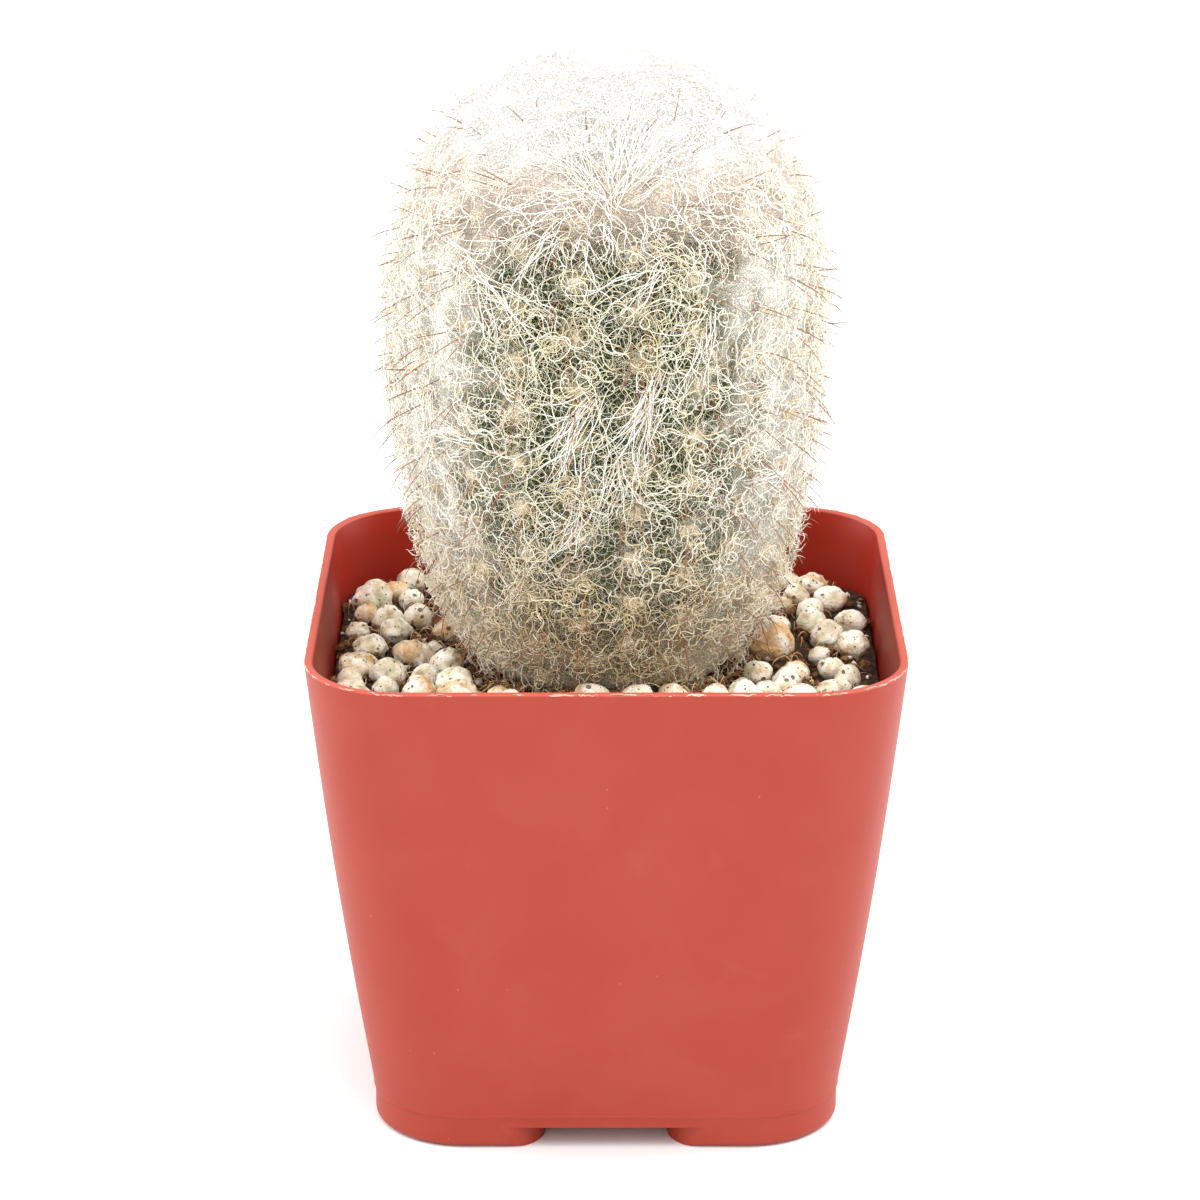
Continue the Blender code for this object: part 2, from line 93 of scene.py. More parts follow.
# The soil's surface, as in the solid model, and its crumbs
SOIL_HEIGHT = 46.4 * MM
SOIL_MOUND = 1.0 * MM
SOIL_MOUND_RADIUS = 30.0 * MM
SOIL_BANK = 1.4 * MM
SOIL_BANK_FROM = 7.0 * MM
SOIL_BANK_TO = 20.0 * MM
SOIL_LUMP = 0.5 * MM
SOIL_LUMP_SIZE = 5.0 * MM
SOIL_CELLS = 84
SOIL_SHOULDER = 43.0 * MM
CRUMB_HEIGHT = 0.45 * MM
CRUMB_SIZE = 1.3 * MM
GRIT_HEIGHT = 0.2 * MM
GRIT_SIZE = 0.5 * MM
CHUNK_COUNT = 1000
CHUNK_RADIUS = (0.25 * MM, 0.72 * MM)
CHUNK_CLEAR = 0.4 * MM
BIT_COUNT = 230
BIT_RADIUS = (0.2 * MM, 0.55 * MM)
FIBRE_COUNT = 800
FIBRE_CLEAR = 1.5 * MM
STEM_FIBRE_COUNT = 660
STEM_FIBRE_REACH = (12.5 * MM, 17.5 * MM)
FIBRE_POINTS = 7
FIBRE_SIDES = 3
FIBRE_SINK = 0.1 * MM
FIBRE_FROM_WALL = 0.5 * MM
FIBRE_ARCH = (0.3 * MM, 1.5 * MM)
FIBRE_BEND = 0.8
FIBRE_LENGTH = (1.4 * MM, 4.2 * MM)
FIBRE_THICKNESS = (0.1 * MM, 0.2 * MM)

# The pebbles: the ones that show most have their own places, and a rule fills in the rest
PEBBLE_SEED = 5
PEBBLE_TRIES = 900
PEBBLE_RADIUS = (1.3 * MM, 2.2 * MM)
PEBBLE_SPACING = 1.02
PEBBLE_CLEAR_OF_STEM = 15.4 * MM
PEBBLE_SINK = 0.24
PEBBLE_LUMP = 0.22
PEBBLE_KNOB = 0.13
PEBBLE_KNOBS_FINER = 2.6
PEBBLE_SOIL_AND_SHADE = 0.7
PEBBLE_HALF_HEIGHT = (0.62, 0.85)
PEBBLE_TALLER = 1.18
PEBBLE_LENGTH = (0.92, 1.14)
PEBBLE_TILT = 0.3
PEBBLE_ROOM = 1.1
NOISE_REACH = 50.0
# Place to the right and to the back of the stem and radius in millimetres, then how tan and how mossy
PLACED_PEBBLES = (
    (-22.5, 26.0, 1.6, 0.2, 0.0), (-26.5, 19.0, 2.2, 0.2, 0.6), (-22.2, 19.6, 1.5, 0.3, 0.0),
    (-24.5, 12.6, 1.9, 0.1, 0.2), (-21.0, 12.5, 1.7, 0.3, 0.0), (-27.8, 9.5, 1.3, 0.4, 0.0),
    (-26.0, 3.6, 1.9, 0.1, 0.2), (-27.2, -3.6, 2.0, 0.6, 0.0), (-21.2, 0.6, 2.1, 0.8, 0.0),
    (-19.0, 3.0, 1.3, 0.3, 0.0), (-17.3, -3.6, 1.9, 0.0, 0.0), (-23.7, -5.8, 1.8, 0.3, 0.8),
    (-23.7, -11.0, 1.4, 0.2, 0.1), (-11.5, -14.0, 1.2, 0.6, 0.0), (-1.6, -17.2, 1.9, 0.5, 0.0),
    (21.2, 26.5, 1.3, 0.2, 0.0), (21.7, 21.0, 1.5, 0.1, 0.0), (19.8, 18.0, 1.4, 0.9, 0.0),
    (25.5, 18.8, 1.8, 0.4, 0.2), (27.5, 11.6, 1.7, 0.2, 0.0), (23.1, 10.6, 1.7, 0.2, 0.7),
    (19.2, 10.5, 1.5, 0.1, 0.0), (18.4, 2.3, 2.4, 1.0, 0.0), (27.3, 3.2, 1.9, 0.4, 0.0),
    (23.5, 0.9, 1.2, 0.1, 0.7), (24.5, -3.9, 1.5, 0.0, 0.1), (20.7, -5.2, 1.5, 0.8, 0.0),
    (19.4, -8.1, 1.6, 0.3, 0.0), (25.3, -9.6, 1.2, 0.0, 0.0), (14.6, -10.7, 1.4, 0.0, 0.0),
    (11.7, -13.7, 1.4, 0.0, 0.0), (7.2, -15.5, 1.6, 0.8, 0.0),
)
FINE_PEBBLE_RADIUS = 1.88 * MM

# The plant's turned body, as in the solid model
STEM_FOOT_HEIGHT = 31.0 * MM
STEM_FOOT_RADIUS = 5.0 * MM
HOLE_TOP = 49.5 * MM
NECK_HEIGHT = 46.4 * MM
NECK_RADIUS = 11.7 * MM
WIDEST_HEIGHT = 84.0 * MM
WIDEST_RADIUS = 19.9 * MM
BODY_TOP = 110.0 * MM
SHOULDER_POWER = 2.3
NECK_POWER = 0.92
RIBS = 22
RIB_DEPTH = 1.2 * MM
ROW_PITCH = 2.6 * MM
FIRST_HAIR_HEIGHT = 48.4 * MM
HALF_COLUMNS_WITHIN = 8.5 * MM
QUARTER_COLUMNS_WITHIN = 4.2 * MM
NECK_ROWS = 4
WOOL_DEPTH = 4.3 * MM
NECK_WOOL_DEPTH = 2.6 * MM
CROWN_WOOL_DEPTH = 5.6 * MM
STEM_STEPS = 30
SIDE_PROFILE_STEPS = 200
SHOULDER_STEPS = 300
SMALL_STEP = 0.5 * MM
TINY = 1e-9
WELD = 0.0002 * MM
SEAM_WELD = 0.01 * MM
TABLE_STEP = 0.25 * MM
TABLE_REACH = 34.0 * MM
TABLE_LOW = 30.0 * MM
TABLE_HIGH = 126.0 * MM

# The skin, the felt on its areoles, and the matted undercoat over it
RIB_COLUMNS = 6
SKIN_ROWS = 90
AREOLE_RISE = 0.45 * MM
AREOLE_SPREAD = 1.1 * MM
TUFT_RADIUS = (0.7 * MM, 1.05 * MM)
TUFT_SHARE = 0.72
TUFT_LUMP = 0.7
TUFTS_BELOW = 104 * MM
MAT_COLUMNS = 132
MAT_ROWS = 96
MAT_HEIGHTS = (50 * MM, 60 * MM, 90 * MM, 104 * MM)
MAT_SHARES = (0.75, 0.6, 0.6, 0.82)
MAT_LUMP = 0.4 * MM
MAT_LUMP_SIZE = 3.0 * MM
NEAR_SPREAD = 2.0 * MM

# Hair
SEED = 23
SHADE_ROWS = 32
HAIR_SIDES = 3
HAIR_THICKNESS = (0.085 * MM, 0.145 * MM)
ROOT_SPREAD = 0.75 * MM
LEAST_DEPTH = 0.08 * MM
GROWN_AFTER = 2.0 * MM
OUTER_SHARE = 1.3
FOLLOW = 650.0
EDDY_TURN = 4.0
EDDY_SIZE = 7.0 * MM
WHORL = (0.4 * MM, -19.1 * MM, 103.6 * MM)
WHORL_REACH = (92 * MM, 101 * MM)
WHORL_SHARE = 0.45
START_LEVEL = 0.5
LEVEL_RANGE = 0.42
LIFTED_SHARE = 0.35
# Name, lowest and highest root, count, points, step, bend a metre, wave, share that coils, coil radii
# and lift, with lengths in millimetres
WOOL = (
    ("wool_low", 40, 66, 1650, 21, 0.4, 1500, 2.4, 0.55, (0.45, 0.9), 1.4),
    ("wool_middle", 66, 84, 1450, 22, 0.46, 1500, 2.8, 0.4, (0.55, 1.2), 1.0),
    ("wool_high", 84, 101, 1450, 22, 0.5, 1250, 3.2, 0.28, (0.6, 1.4), 1.0),
    ("wool_crown", 97.5, 111, 1500, 16, 0.52, 1000, 3.6, 0.2, (0.7, 1.5), 1.1),
)
FUZZ_COUNT = 2000
FUZZ_POINTS = 6
FUZZ_ROOT_SPREAD = 2.0 * MM
FUZZ_REACH = (0.8 * MM, 2.2 * MM)
FUZZ_CURL = (0.1 * MM, 0.4 * MM)
FUZZ_THICKNESS = (0.07 * MM, 0.11 * MM)
LOCK_HAIRS = 13
LOCK_POINTS = 14
LOCK_BEND = 420.0
LOCK_SPREAD = 0.7 * MM
LOCK_FAN = 1.2 * MM
LOCK_REACH = (0.6, 1.3)
LOCK_START_LEVEL = 0.75
LOCK_WAVE = (3.5 * MM, 6.5 * MM)
PLACED_LIFT = 0.4 * MM
SEEDED_LIFT = 0.6 * MM
SEEDED_LOCKS = 9
SEEDED_BETWEEN = (68 * MM, 104 * MM)
SEEDED_LENGTH = (5 * MM, 12 * MM)
# Starts and ends of the locks at the front, to the right, back and up in millimetres
FRONT_LOCKS = (
    (-14.0, -17.1, 96.6, -4.7, -22.8, 90.9), (5.5, -21.2, 97.0, -1.6, -23.0, 92.3),
    (5.0, -23.1, 84.1, 0.6, -23.0, 73.9), (5.6, -22.8, 85.0, 1.4, -23.0, 75.5),
    (0.9, -23.0, 76.5, 1.2, -22.6, 69.5), (-0.6, -23.7, 83.8, -8.9, -21.4, 75.6),
    (10.6, -20.8, 90.4, 7.6, -22.4, 83.4), (-2.2, -23.4, 82.7, -5.3, -22.6, 75.9),
    (-3.3, -19.5, 102.2, -13.4, -18.5, 93.0),
    (0.4, -19.1, 103.6, 0.4, -11.0, 112.2), (0.4, -19.1, 103.6, -5.0, -11.0, 111.5),
    (0.4, -19.1, 103.6, 5.0, -11.5, 111.5), (0.0, -19.1, 103.6, -9.0, -12.0, 109.0),
    (0.8, -19.1, 103.6, 9.0, -12.0, 109.0),
)

# Spines
SPINE_SIDES = 4
SPINES_EACH = 3
SPINE_POINTS = 6
SPINE_THICKNESS = (0.09 * MM, 0.155 * MM)
SPINE_ROOT_SPREAD = 0.6 * MM
SPINE_REACH = (3.5 * MM, 7.0 * MM)
SPINE_ARCH = 1.8
SPINE_BEND = (0.0, 0.7 * MM)
SPINE_PAST_WOOL = (0.2 * MM, 1.8 * MM)
SPINE_STRAY = (0.1, 0.8)
SPINE_HEIGHTS = (50 * MM, 62 * MM, 90 * MM, 100 * MM, 106 * MM, 108 * MM)
SPINE_SUNK = (-0.6 * MM, 0.0, -0.1 * MM, -0.9 * MM, -1.1 * MM, -6.0 * MM)

# The stage, with the lights' places, sizes and powers
FLOOR_HALF = 3.0
FLOOR_GREY = 0.9
SKY_STRENGTH = 0.85
LIGHTS = (
    ("softbox_top", (0.1, -0.25, 0.75), 0.7, 5.5),
    ("softbox_front", (-0.3, -0.85, 0.45), 0.6, 2.2),
    ("softbox_left", (-0.8, 0.3, 0.4), 0.6, 6.2),
    ("softbox_right", (0.8, 0.3, 0.4), 0.6, 6.2),
)
LIGHTS_AIM = (0.0, 0.0, 0.06)
CAMERA_PLACE = (-0.66 * MM, -460.8 * MM, 212.9 * MM)
CAMERA_DOWN = 19.03
CAMERA_LENS = 133.62
CAMERA_SENSOR = 36.0
CAMERA_CLIP = 0.01


def object_from(bm, name, *materials):
    mesh = bpy.data.meshes.new(name)
    bm.to_mesh(mesh)
    bm.free()
    piece = bpy.data.objects.new(name, mesh)
    bpy.context.scene.collection.objects.link(piece)
    for material in materials:
        mesh.materials.append(material)
    return piece


def smooth_from(bm, name, material):
    piece = object_from(bm, name, material)
    piece.data.shade_smooth()
    return piece


def stands_for(piece, node):
    """Seat a finished piece in the model in place of a solid node."""
    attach(piece, BODY)
    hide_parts(node)


def of_cactus(piece):
    stands_for(piece, "cactus")


def of_soil(piece):
    stands_for(piece, "soil")


def apply_modifiers(piece):
    """Give a piece the mesh that its modifiers make, and drop them."""
    graph = bpy.context.evaluated_depsgraph_get()
    mesh = bpy.data.meshes.new_from_object(piece.evaluated_get(graph))
    piece.modifiers.clear()
    piece.data = mesh


def add_boolean(piece, operation, cutter):
    modifier = piece.modifiers.new(cutter.name, "BOOLEAN")
    modifier.operation = operation
    modifier.object = cutter


def shade_round(piece, angle):
    piece.data.shade_smooth()
    piece.data.set_sharp_from_angle(angle=math.radians(angle))


def extruded(bm, face):
    """Extrude one face of a closed mesh and return its copy."""
    made = bmesh.ops.extrude_face_region(bm, geom=[face, *face.edges, *face.verts])
    return next(item for item in made["geom"] if isinstance(item, bmesh.types.BMFace))


def face_out(bm):
    bmesh.ops.recalc_face_normals(bm, faces=bm.faces[:])


def open_edges(bm):
    return [edge for edge in bm.edges if edge.is_boundary]


def smooth_step(low, high, value):
    along = np.clip((value - low) / (high - low), 0.0, 1.0)
    return along * along * (3 - 2 * along)


def colour(value):
    """A colour with its alpha, from three values or one grey."""
    return (*value, 1.0) if isinstance(value, tuple) else (value, value, value, 1.0)


class Shading:
    """Adds nodes to one tree. Its textures lie at the place, a vector."""

    def __init__(self, tree):
        self.tree = tree
        self.place = None

    def fill(self, socket, value):
        """Link a value made by another node, or set a plain one."""
        if isinstance(value, bpy.types.NodeSocket):
            self.tree.links.new(value, socket)
        else:
            socket.default_value = value

    def node(self, kind, inputs=None, **settings):
        """Add a node, set its options and fill its inputs."""
        node = self.tree.nodes.new(kind)
        for name, value in settings.items():
            setattr(node, name, value)
        for name, value in (inputs or {}).items():
            self.fill(node.inputs[name], value)
        return node

    def maths(self, operation, first, second=0.0, third=0.0):
        inputs = {0: first, 1: second, 2: third}
        return self.node("ShaderNodeMath", inputs, operation=operation).outputs[0]

    def scaled(self, value, by):
        """A value times a number or another value."""
        return self.maths("MULTIPLY", value, by)

    def highest(self, first, *others):
        """The highest of some values."""
        for other in others:
            first = self.maths("MAXIMUM", first, other)
        return first

    def eased(self, value, low, high):
        """A mask that eases from 0 to 1 as a value goes from low to high."""
        inputs = {"Value": value, "From Min": low, "From Max": high}
        return self.node("ShaderNodeMapRange", inputs, interpolation_type="SMOOTHSTEP").outputs["Result"]

    def vector_maths(self, operation, inputs):
        return self.node("ShaderNodeVectorMath", inputs, operation=operation).outputs[0]

    def parts_of(self, vector):
        """The X, Y and Z of a vector."""
        return self.node("ShaderNodeSeparateXYZ", {"Vector": vector}).outputs

    def above(self, low, high):
        """A mask that grows from 0 to 1 between two heights."""
        return self.eased(self.parts_of(self.place)["Z"], low, high)

    def along_strand(self):
        """How far a point is along its strand, as X, and the strand's own shade, as Y."""
        return self.parts_of(self.node("ShaderNodeUVMap", uv_map="strand").outputs["UV"])

    def stored(self, name):
        """A value kept on the points of a mesh."""
        return self.node("ShaderNodeAttribute", attribute_name=name).outputs["Fac"]

    def noise(self, scale, detail=3.0, distortion=0.0):
        inputs = {"Vector": self.place, "Scale": scale, "Detail": detail, "Distortion": distortion}
        return self.node("ShaderNodeTexNoise", inputs).outputs

    def cloud(self, *settings):
        """Soft noise from 0 to 1."""
        return self.noise(*settings)["Fac"]

    def ramp(self, factor, *stops):
        """Colours at places along a factor, each stop a place and a colour or grey."""
        node = self.node("ShaderNodeValToRGB", {"Fac": factor})
        elements = node.color_ramp.elements
        while len(elements) < len(stops):
            elements.new(1.0)
        for element, (place, value) in zip(elements, stops):
            element.position = place
            element.color = colour(value)
        return node.outputs["Color"]

    def blend(self, factor, first, second, mode="MIX"):
        """Mix two colours by a factor."""
        node = self.node("ShaderNodeMix", data_type="RGBA", blend_type=mode)
        self.fill(node.inputs[0], factor)
        for socket, value in zip(node.inputs[6:8], (first, second)):
            self.fill(socket, value if isinstance(value, bpy.types.NodeSocket) else colour(value))
        return node.outputs[2]

    def tinted(self, tone, mask, share, value):
        """A tone taken a share of the way to a colour where a mask is 1."""
        return self.blend(self.scaled(mask, share), tone, value)

    def use(self, name, **values):
        """The output of a shared effect with its own values."""
        inputs = {title.capitalize(): value for title, value in values.items()}
        inputs["Vector"] = self.place
        return self.node("ShaderNodeGroup", inputs, node_tree=GROUPS[name]).outputs[0]


class Effect(Shading):
    """A shared shader group with a vector and numbers given, and one number made."""

    def __init__(self, name, titles, made):
        super().__init__(bpy.data.node_groups.new(name, "ShaderNodeTree"))
        socket = self.tree.interface.new_socket
        socket("Vector", in_out="INPUT", socket_type="NodeSocketVector")
        for title in titles:
            socket(title, in_out="INPUT", socket_type="NodeSocketFloat")
        socket(made, in_out="OUTPUT", socket_type="NodeSocketFloat")
        self.given = self.tree.nodes.new("NodeGroupInput").outputs
        self.made = self.tree.nodes.new("NodeGroupOutput").inputs[0]
        self.place = self.given["Vector"]

    def finished(self, value):
        self.fill(self.made, value)
        return self.tree


def speck_group():
    """Round specks, scattered and uneven in size: 1 inside a speck."""
    group = Effect("specks", ("Scale", "Size", "Share"), "Mask")
    inputs = {"Vector": group.place, "Scale": group.given["Scale"]}
    cells = group.node("ShaderNodeTexVoronoi", inputs).outputs
    chance = group.node("ShaderNodeSeparateColor", {"Color": cells["Color"]}).outputs
    size = group.scaled(group.given["Size"], group.maths("ADD", chance["Green"], 0.3))
    near = group.maths("DIVIDE", group.maths("SUBTRACT", size, cells["Distance"]), size)
    picked = group.maths("LESS_THAN", chance["Red"], group.given["Share"])
    return group.finished(group.scaled(group.eased(near, 0.0, 0.45), picked))


def patch_group():
    """Cloudy patches with soft edges: 1 inside a patch."""
    group = Effect("patches", ("Scale", "Share", "Softness"), "Mask")
    edge = group.maths("SUBTRACT", 0.72, group.scaled(group.given["Share"], 0.45))
    full = group.maths("ADD", edge, group.given["Softness"])
    return group.finished(group.eased(group.cloud(group.given["Scale"], 4.0, 0.6), edge, full))


def net_group():
    """A tangle of fine hair lines, seen flat: 1 on a line."""
    group = Effect("hair_net", ("Scale", "Width"), "Mask")
    scale = group.given["Scale"]
    wobble = group.noise(group.scaled(scale, 0.45), 2.0)["Color"]
    centred = group.vector_maths("SUBTRACT", {0: wobble, 1: (0.5, 0.5, 0.5)})
    shift = group.vector_maths("SCALE", {0: centred, "Scale": group.maths("DIVIDE", 1.6, scale)})
    place = group.vector_maths("ADD", {0: group.place, 1: shift})
    inputs = {"Vector": place, "Scale": scale}
    cells = group.node("ShaderNodeTexVoronoi", inputs, feature="DISTANCE_TO_EDGE").outputs
    off_line = group.eased(cells["Distance"], 0.02, group.given["Width"])
    return group.finished(group.maths("SUBTRACT", 1.0, off_line))


def grain_group():
    """Fine and coarse grain as a height."""
    group = Effect("grain", ("Scale", "Coarse"), "Height")
    coarse = group.cloud(group.scaled(group.given["Scale"], 0.13), 3.0)
    height = group.scaled(coarse, group.given["Coarse"])
    return group.finished(group.maths("ADD", group.cloud(group.given["Scale"], 2.0), height))


GROUPS = {
    "specks": speck_group(), "patches": patch_group(), "hair_net": net_group(), "grain": grain_group(),
}


class Look(Shading):
    """A Principled material in the making."""

    def __init__(self, name, roughness, specular=0.5, sheen=0.0):
        self.material = bpy.data.materials.new(name)
        self.material.use_nodes = True
        super().__init__(self.material.node_tree)
        self.place = self.node("ShaderNodeTexCoord").outputs["Object"]
        self.inputs = self.tree.nodes["Principled BSDF"].inputs
        self.give("Roughness", roughness)
        self.give("Specular IOR Level", specular)
        self.give("Sheen Weight", sheen)

    def give(self, title, value):
        self.fill(self.inputs[title], value)

    def painted(self, base, height=None, depth=0.0, strength=1.0):
        """The material with its base colour, and with a bump if it has a height."""
        self.give("Base Color", base)
        if height is not None:
            inputs = {"Height": height, "Distance": depth, "Strength": strength}
            self.give("Normal", self.node("ShaderNodeBump", inputs).outputs["Normal"])
        return self.material


def pot_material(name, base, pale, dust_share, roughness, specular):
    """Satin moulded plastic: faintly mottled, specked, with scuffs and dust."""
    look = Look(name, roughness, specular)
    mottle = look.cloud(95.0, 4.0, 0.4)
    tone = look.ramp(mottle, (0.3, base), (0.7, tuple(0.93 * a + 0.07 * b for a, b in zip(base, pale))))
    dust = look.use("patches", scale=160.0, share=dust_share, softness=0.3)
    tone = look.tinted(tone, dust, 0.12, pale)
    light = look.use("specks", scale=760.0, size=0.09, share=0.1)
    dark = look.use("specks", scale=900.0, size=0.08, share=0.08)
    tone = look.tinted(tone, light, 0.35, pale)
    tone = look.tinted(tone, dark, 0.35, (0.18, 0.04, 0.02))
    grain = look.use("grain", scale=5200.0, coarse=1.6)
    height = look.maths("ADD", look.scaled(grain, 0.3), light)
    look.give("Roughness", look.maths("MULTIPLY_ADD", mottle, 0.16, roughness - 0.08))
    return look.painted(tone, height, 0.00003, 0.6)


def soil_material(name, dark, light):
    """Moist peat: near black, with brown crumbs."""
    look = Look(name, 0.9, specular=0.25)
    crumbs = look.cloud(900.0, 5.0, 0.5)
    tone = look.ramp(crumbs, (0.35, dark), (0.6, light), (0.75, tuple(1.9 * c for c in light)))
    grain = look.use("grain", scale=3800.0, coarse=2.0)
    return look.painted(tone, grain, 0.0003)


def fibre_material():
    """Coir fibres, each its own brown."""
    look = Look("coir_fibre", 0.7)
    return look.painted(look.ramp(
        look.along_strand()["Y"], (0.0, (0.10, 0.042, 0.018)), (0.35, (0.32, 0.15, 0.055)),
        (0.65, (0.60, 0.36, 0.14)), (1.0, (0.86, 0.64, 0.34))))


def bit_material():
    """White perlite bits."""
    look = Look("perlite", 0.85)
    tone = look.ramp(look.cloud(1500.0), (0.3, (0.62, 0.56, 0.48)), (0.6, (0.88, 0.86, 0.82)))
    return look.painted(tone, look.use("grain", scale=5000.0, coarse=1.0), 0.0001)


def pebble_material():
    """Porous pale stone: tan and mossy stains, pits painted dark as painted shade, and soil stain with
    painted contact shade in the low parts.
    """
    look = Look("pumice_pebble", 0.72, specular=0.3)
    tone = look.ramp(
        look.cloud(520.0, 6.0), (0.32, (0.50, 0.37, 0.22)), (0.44, (0.82, 0.71, 0.52)),
        (0.54, (0.98, 0.91, 0.76)), (0.68, (0.99, 0.97, 0.88)))
    stain_edge = look.maths("MULTIPLY_ADD", look.stored("tan"), -0.34, 0.68)
    stain_full = look.maths("ADD", stain_edge, 0.22)
    stained = look.eased(look.cloud(420.0, 4.0, 0.8), stain_edge, stain_full)
    amber = look.ramp(look.cloud(800.0), (0.35, (0.56, 0.28, 0.09)), (0.65, (0.84, 0.55, 0.26)))
    tone = look.tinted(tone, stained, 0.9, amber)
    patches = look.use("patches", scale=450.0, share=0.5, softness=0.2)
    tone = look.tinted(tone, look.scaled(patches, look.stored("moss")), 0.75, (0.36, 0.44, 0.20))
    rust = look.use("specks", scale=800.0, size=0.26, share=0.3)
    tone = look.tinted(tone, rust, 0.7, (0.42, 0.18, 0.05))
    large_pits = look.use("specks", scale=950.0, size=0.25, share=0.5)
    small_pits = look.use("specks", scale=2600.0, size=0.3, share=0.35)
    pits = look.highest(large_pits, small_pits)
    # Painted shade in the pits
    tone = look.tinted(tone, pits, 0.85, (0.11, 0.075, 0.045))
    # Soil stain and painted contact shade on the low parts, near the soil
    tone = look.tinted(tone, look.stored("low"), look.cloud(700.0, 4.0), (0.10, 0.055, 0.03))
    grain = look.use("grain", scale=4500.0, coarse=2.2)
    return look.painted(tone, look.maths("SUBTRACT", look.scaled(grain, 0.45), pits), 0.0004)


def skin_material():
    """Dark green skin with flat-lying hairs on it, the deeper hairs painted darker as painted shade."""
    look = Look("cactus_skin", 0.6, specular=0.3)
    tone = look.ramp(look.cloud(260.0), (0.35, (0.040, 0.095, 0.030)), (0.65, (0.115, 0.210, 0.070)))
    deep = look.use("hair_net", scale=2700.0, width=0.1)
    top = look.use("hair_net", scale=1700.0, width=0.07)
    # Painted shade: the deeper hair lines are darker than the upper ones
    tone = look.tinted(tone, deep, 0.5, (0.16, 0.20, 0.085))
    tone = look.tinted(tone, top, 0.6, (0.42, 0.43, 0.25))
    tone = look.tinted(tone, look.above(0.096, 0.104), 0.9, (0.88, 0.84, 0.76))
    return look.painted(tone, look.maths("ADD", deep, top), 0.0002)


def mat_material():
    """The matted undercoat: tan on the areoles, open between them, closed on the crown and the sides, and
    pale where it turns away, as painted rim light.
    """
    look = Look("wool_mat", 0.75, specular=0.25, sheen=0.3)
    near = look.stored("near")
    felt = look.maths("POWER", near, 4.0)
    ragged = look.cloud(420.0)
    side = look.above(0.052, 0.070)
    crown = look.above(0.097, 0.106)

    # Open or shut: grown on the areoles and at the neck, and shut on the crown and where it turns away
    # from the view, where the wool shows denser
    grown = look.eased(look.maths("MULTIPLY_ADD", ragged, 0.5, near), 0.4, 0.85)
    grown = look.highest(grown, look.maths("SUBTRACT", 1.0, side))
    facing = look.node("ShaderNodeLayerWeight", {"Blend": 0.5}).outputs["Facing"]
    denser = look.maths("MULTIPLY_ADD", look.above(0.070, 0.098), 0.75, 1.0)
    turned_away = look.maths("ADD", look.scaled(facing, denser), look.scaled(ragged, 0.4))
    shut = look.highest(look.eased(turned_away, 0.34, 0.78), crown)

    # Three layers of hair lines
    fine = look.scaled(look.use("hair_net", scale=2500.0, width=0.13), grown)
    thinned = look.maths("MULTIPLY_ADD", grown, 0.7, 0.3)
    middle = look.scaled(look.use("hair_net", scale=1750.0, width=0.09), thinned)
    bold = look.use("hair_net", scale=1300.0, width=0.08)

    # Each tone has one colour low down and one higher up. The dim tone, on the fine lines, is painted
    # shade on the hairs lying deeper
    dim = look.blend(side, (0.48, 0.41, 0.23), (0.40, 0.38, 0.20))
    fair = look.blend(side, (0.60, 0.51, 0.29), (0.70, 0.65, 0.42))
    pale = look.blend(side, (0.82, 0.73, 0.48), (0.90, 0.86, 0.68))
    # The shut tone stands for dense wool; where the mat turns away, its paleness is painted rim light
    closed = look.blend(side, (1.0, 0.90, 0.66), (0.96, 0.92, 0.83))
    tone = look.blend(bold, look.blend(middle, dim, fair), pale)
    tone = look.tinted(tone, felt, 0.85, (0.86, 0.66, 0.38))
    tone = look.tinted(tone, shut, 0.82, closed)
    tone = look.tinted(tone, crown, 0.85, (0.83, 0.81, 0.775))
    rosy = look.maths("SUBTRACT", look.above(0.094, 0.101), look.above(0.104, 0.109))
    tone = look.tinted(tone, rosy, 0.75, (0.80, 0.62, 0.47))
    height = look.maths("ADD", look.maths("ADD", fine, middle), bold)
    height = look.scaled(height, look.maths("MULTIPLY_ADD", crown, -0.6, 1.0))
    on_areole = look.maths("GREATER_THAN", felt, 0.4)
    look.give("Alpha", look.highest(fine, middle, bold, shut, on_areole))
    return look.painted(tone, height, 0.0004)


def felt_material():
    """Short tan felt of the areoles."""
    look = Look("areole_felt", 0.95, sheen=0.3)
    tone = look.ramp(look.cloud(900.0, 4.0), (0.3, (0.62, 0.46, 0.26)), (0.7, (0.86, 0.70, 0.46)))
    line = look.use("hair_net", scale=3200.0, width=0.16)
    return look.painted(look.tinted(tone, line, 0.7, (0.94, 0.86, 0.70)), line, 0.0001)


def strand_material(name, dim, fair, bright, root=(0.92, 0.76, 0.50), painted_side_light=(0.94, 0.90, 0.82)):
    """Hairs that each have their own tone, tan at the root, and paler at the sides of the plant as painted
    rim light.
    """
    look = Look(name, 0.65, specular=0.3, sheen=0.15)
    along = look.along_strand()
    tone = look.ramp(along["Y"], (0.0, dim), (0.35, fair), (0.8, bright), (1.0, bright))
    # Painted rim light: hairs are paler towards the plant's left and right sides
    across = look.maths("ABSOLUTE", look.parts_of(look.place)["X"])
    tone = look.tinted(tone, look.eased(across, 0.006, 0.017), 0.8, painted_side_light)
    shade = look.ramp(along["X"], (0.0, root), (0.1, root), (0.3, 1.0), (1.0, 1.0))
    look.give("Roughness", look.maths("MULTIPLY_ADD", along["Y"], -0.2, 0.75))
    return look.painted(look.blend(1.0, tone, shade, "MULTIPLY"))


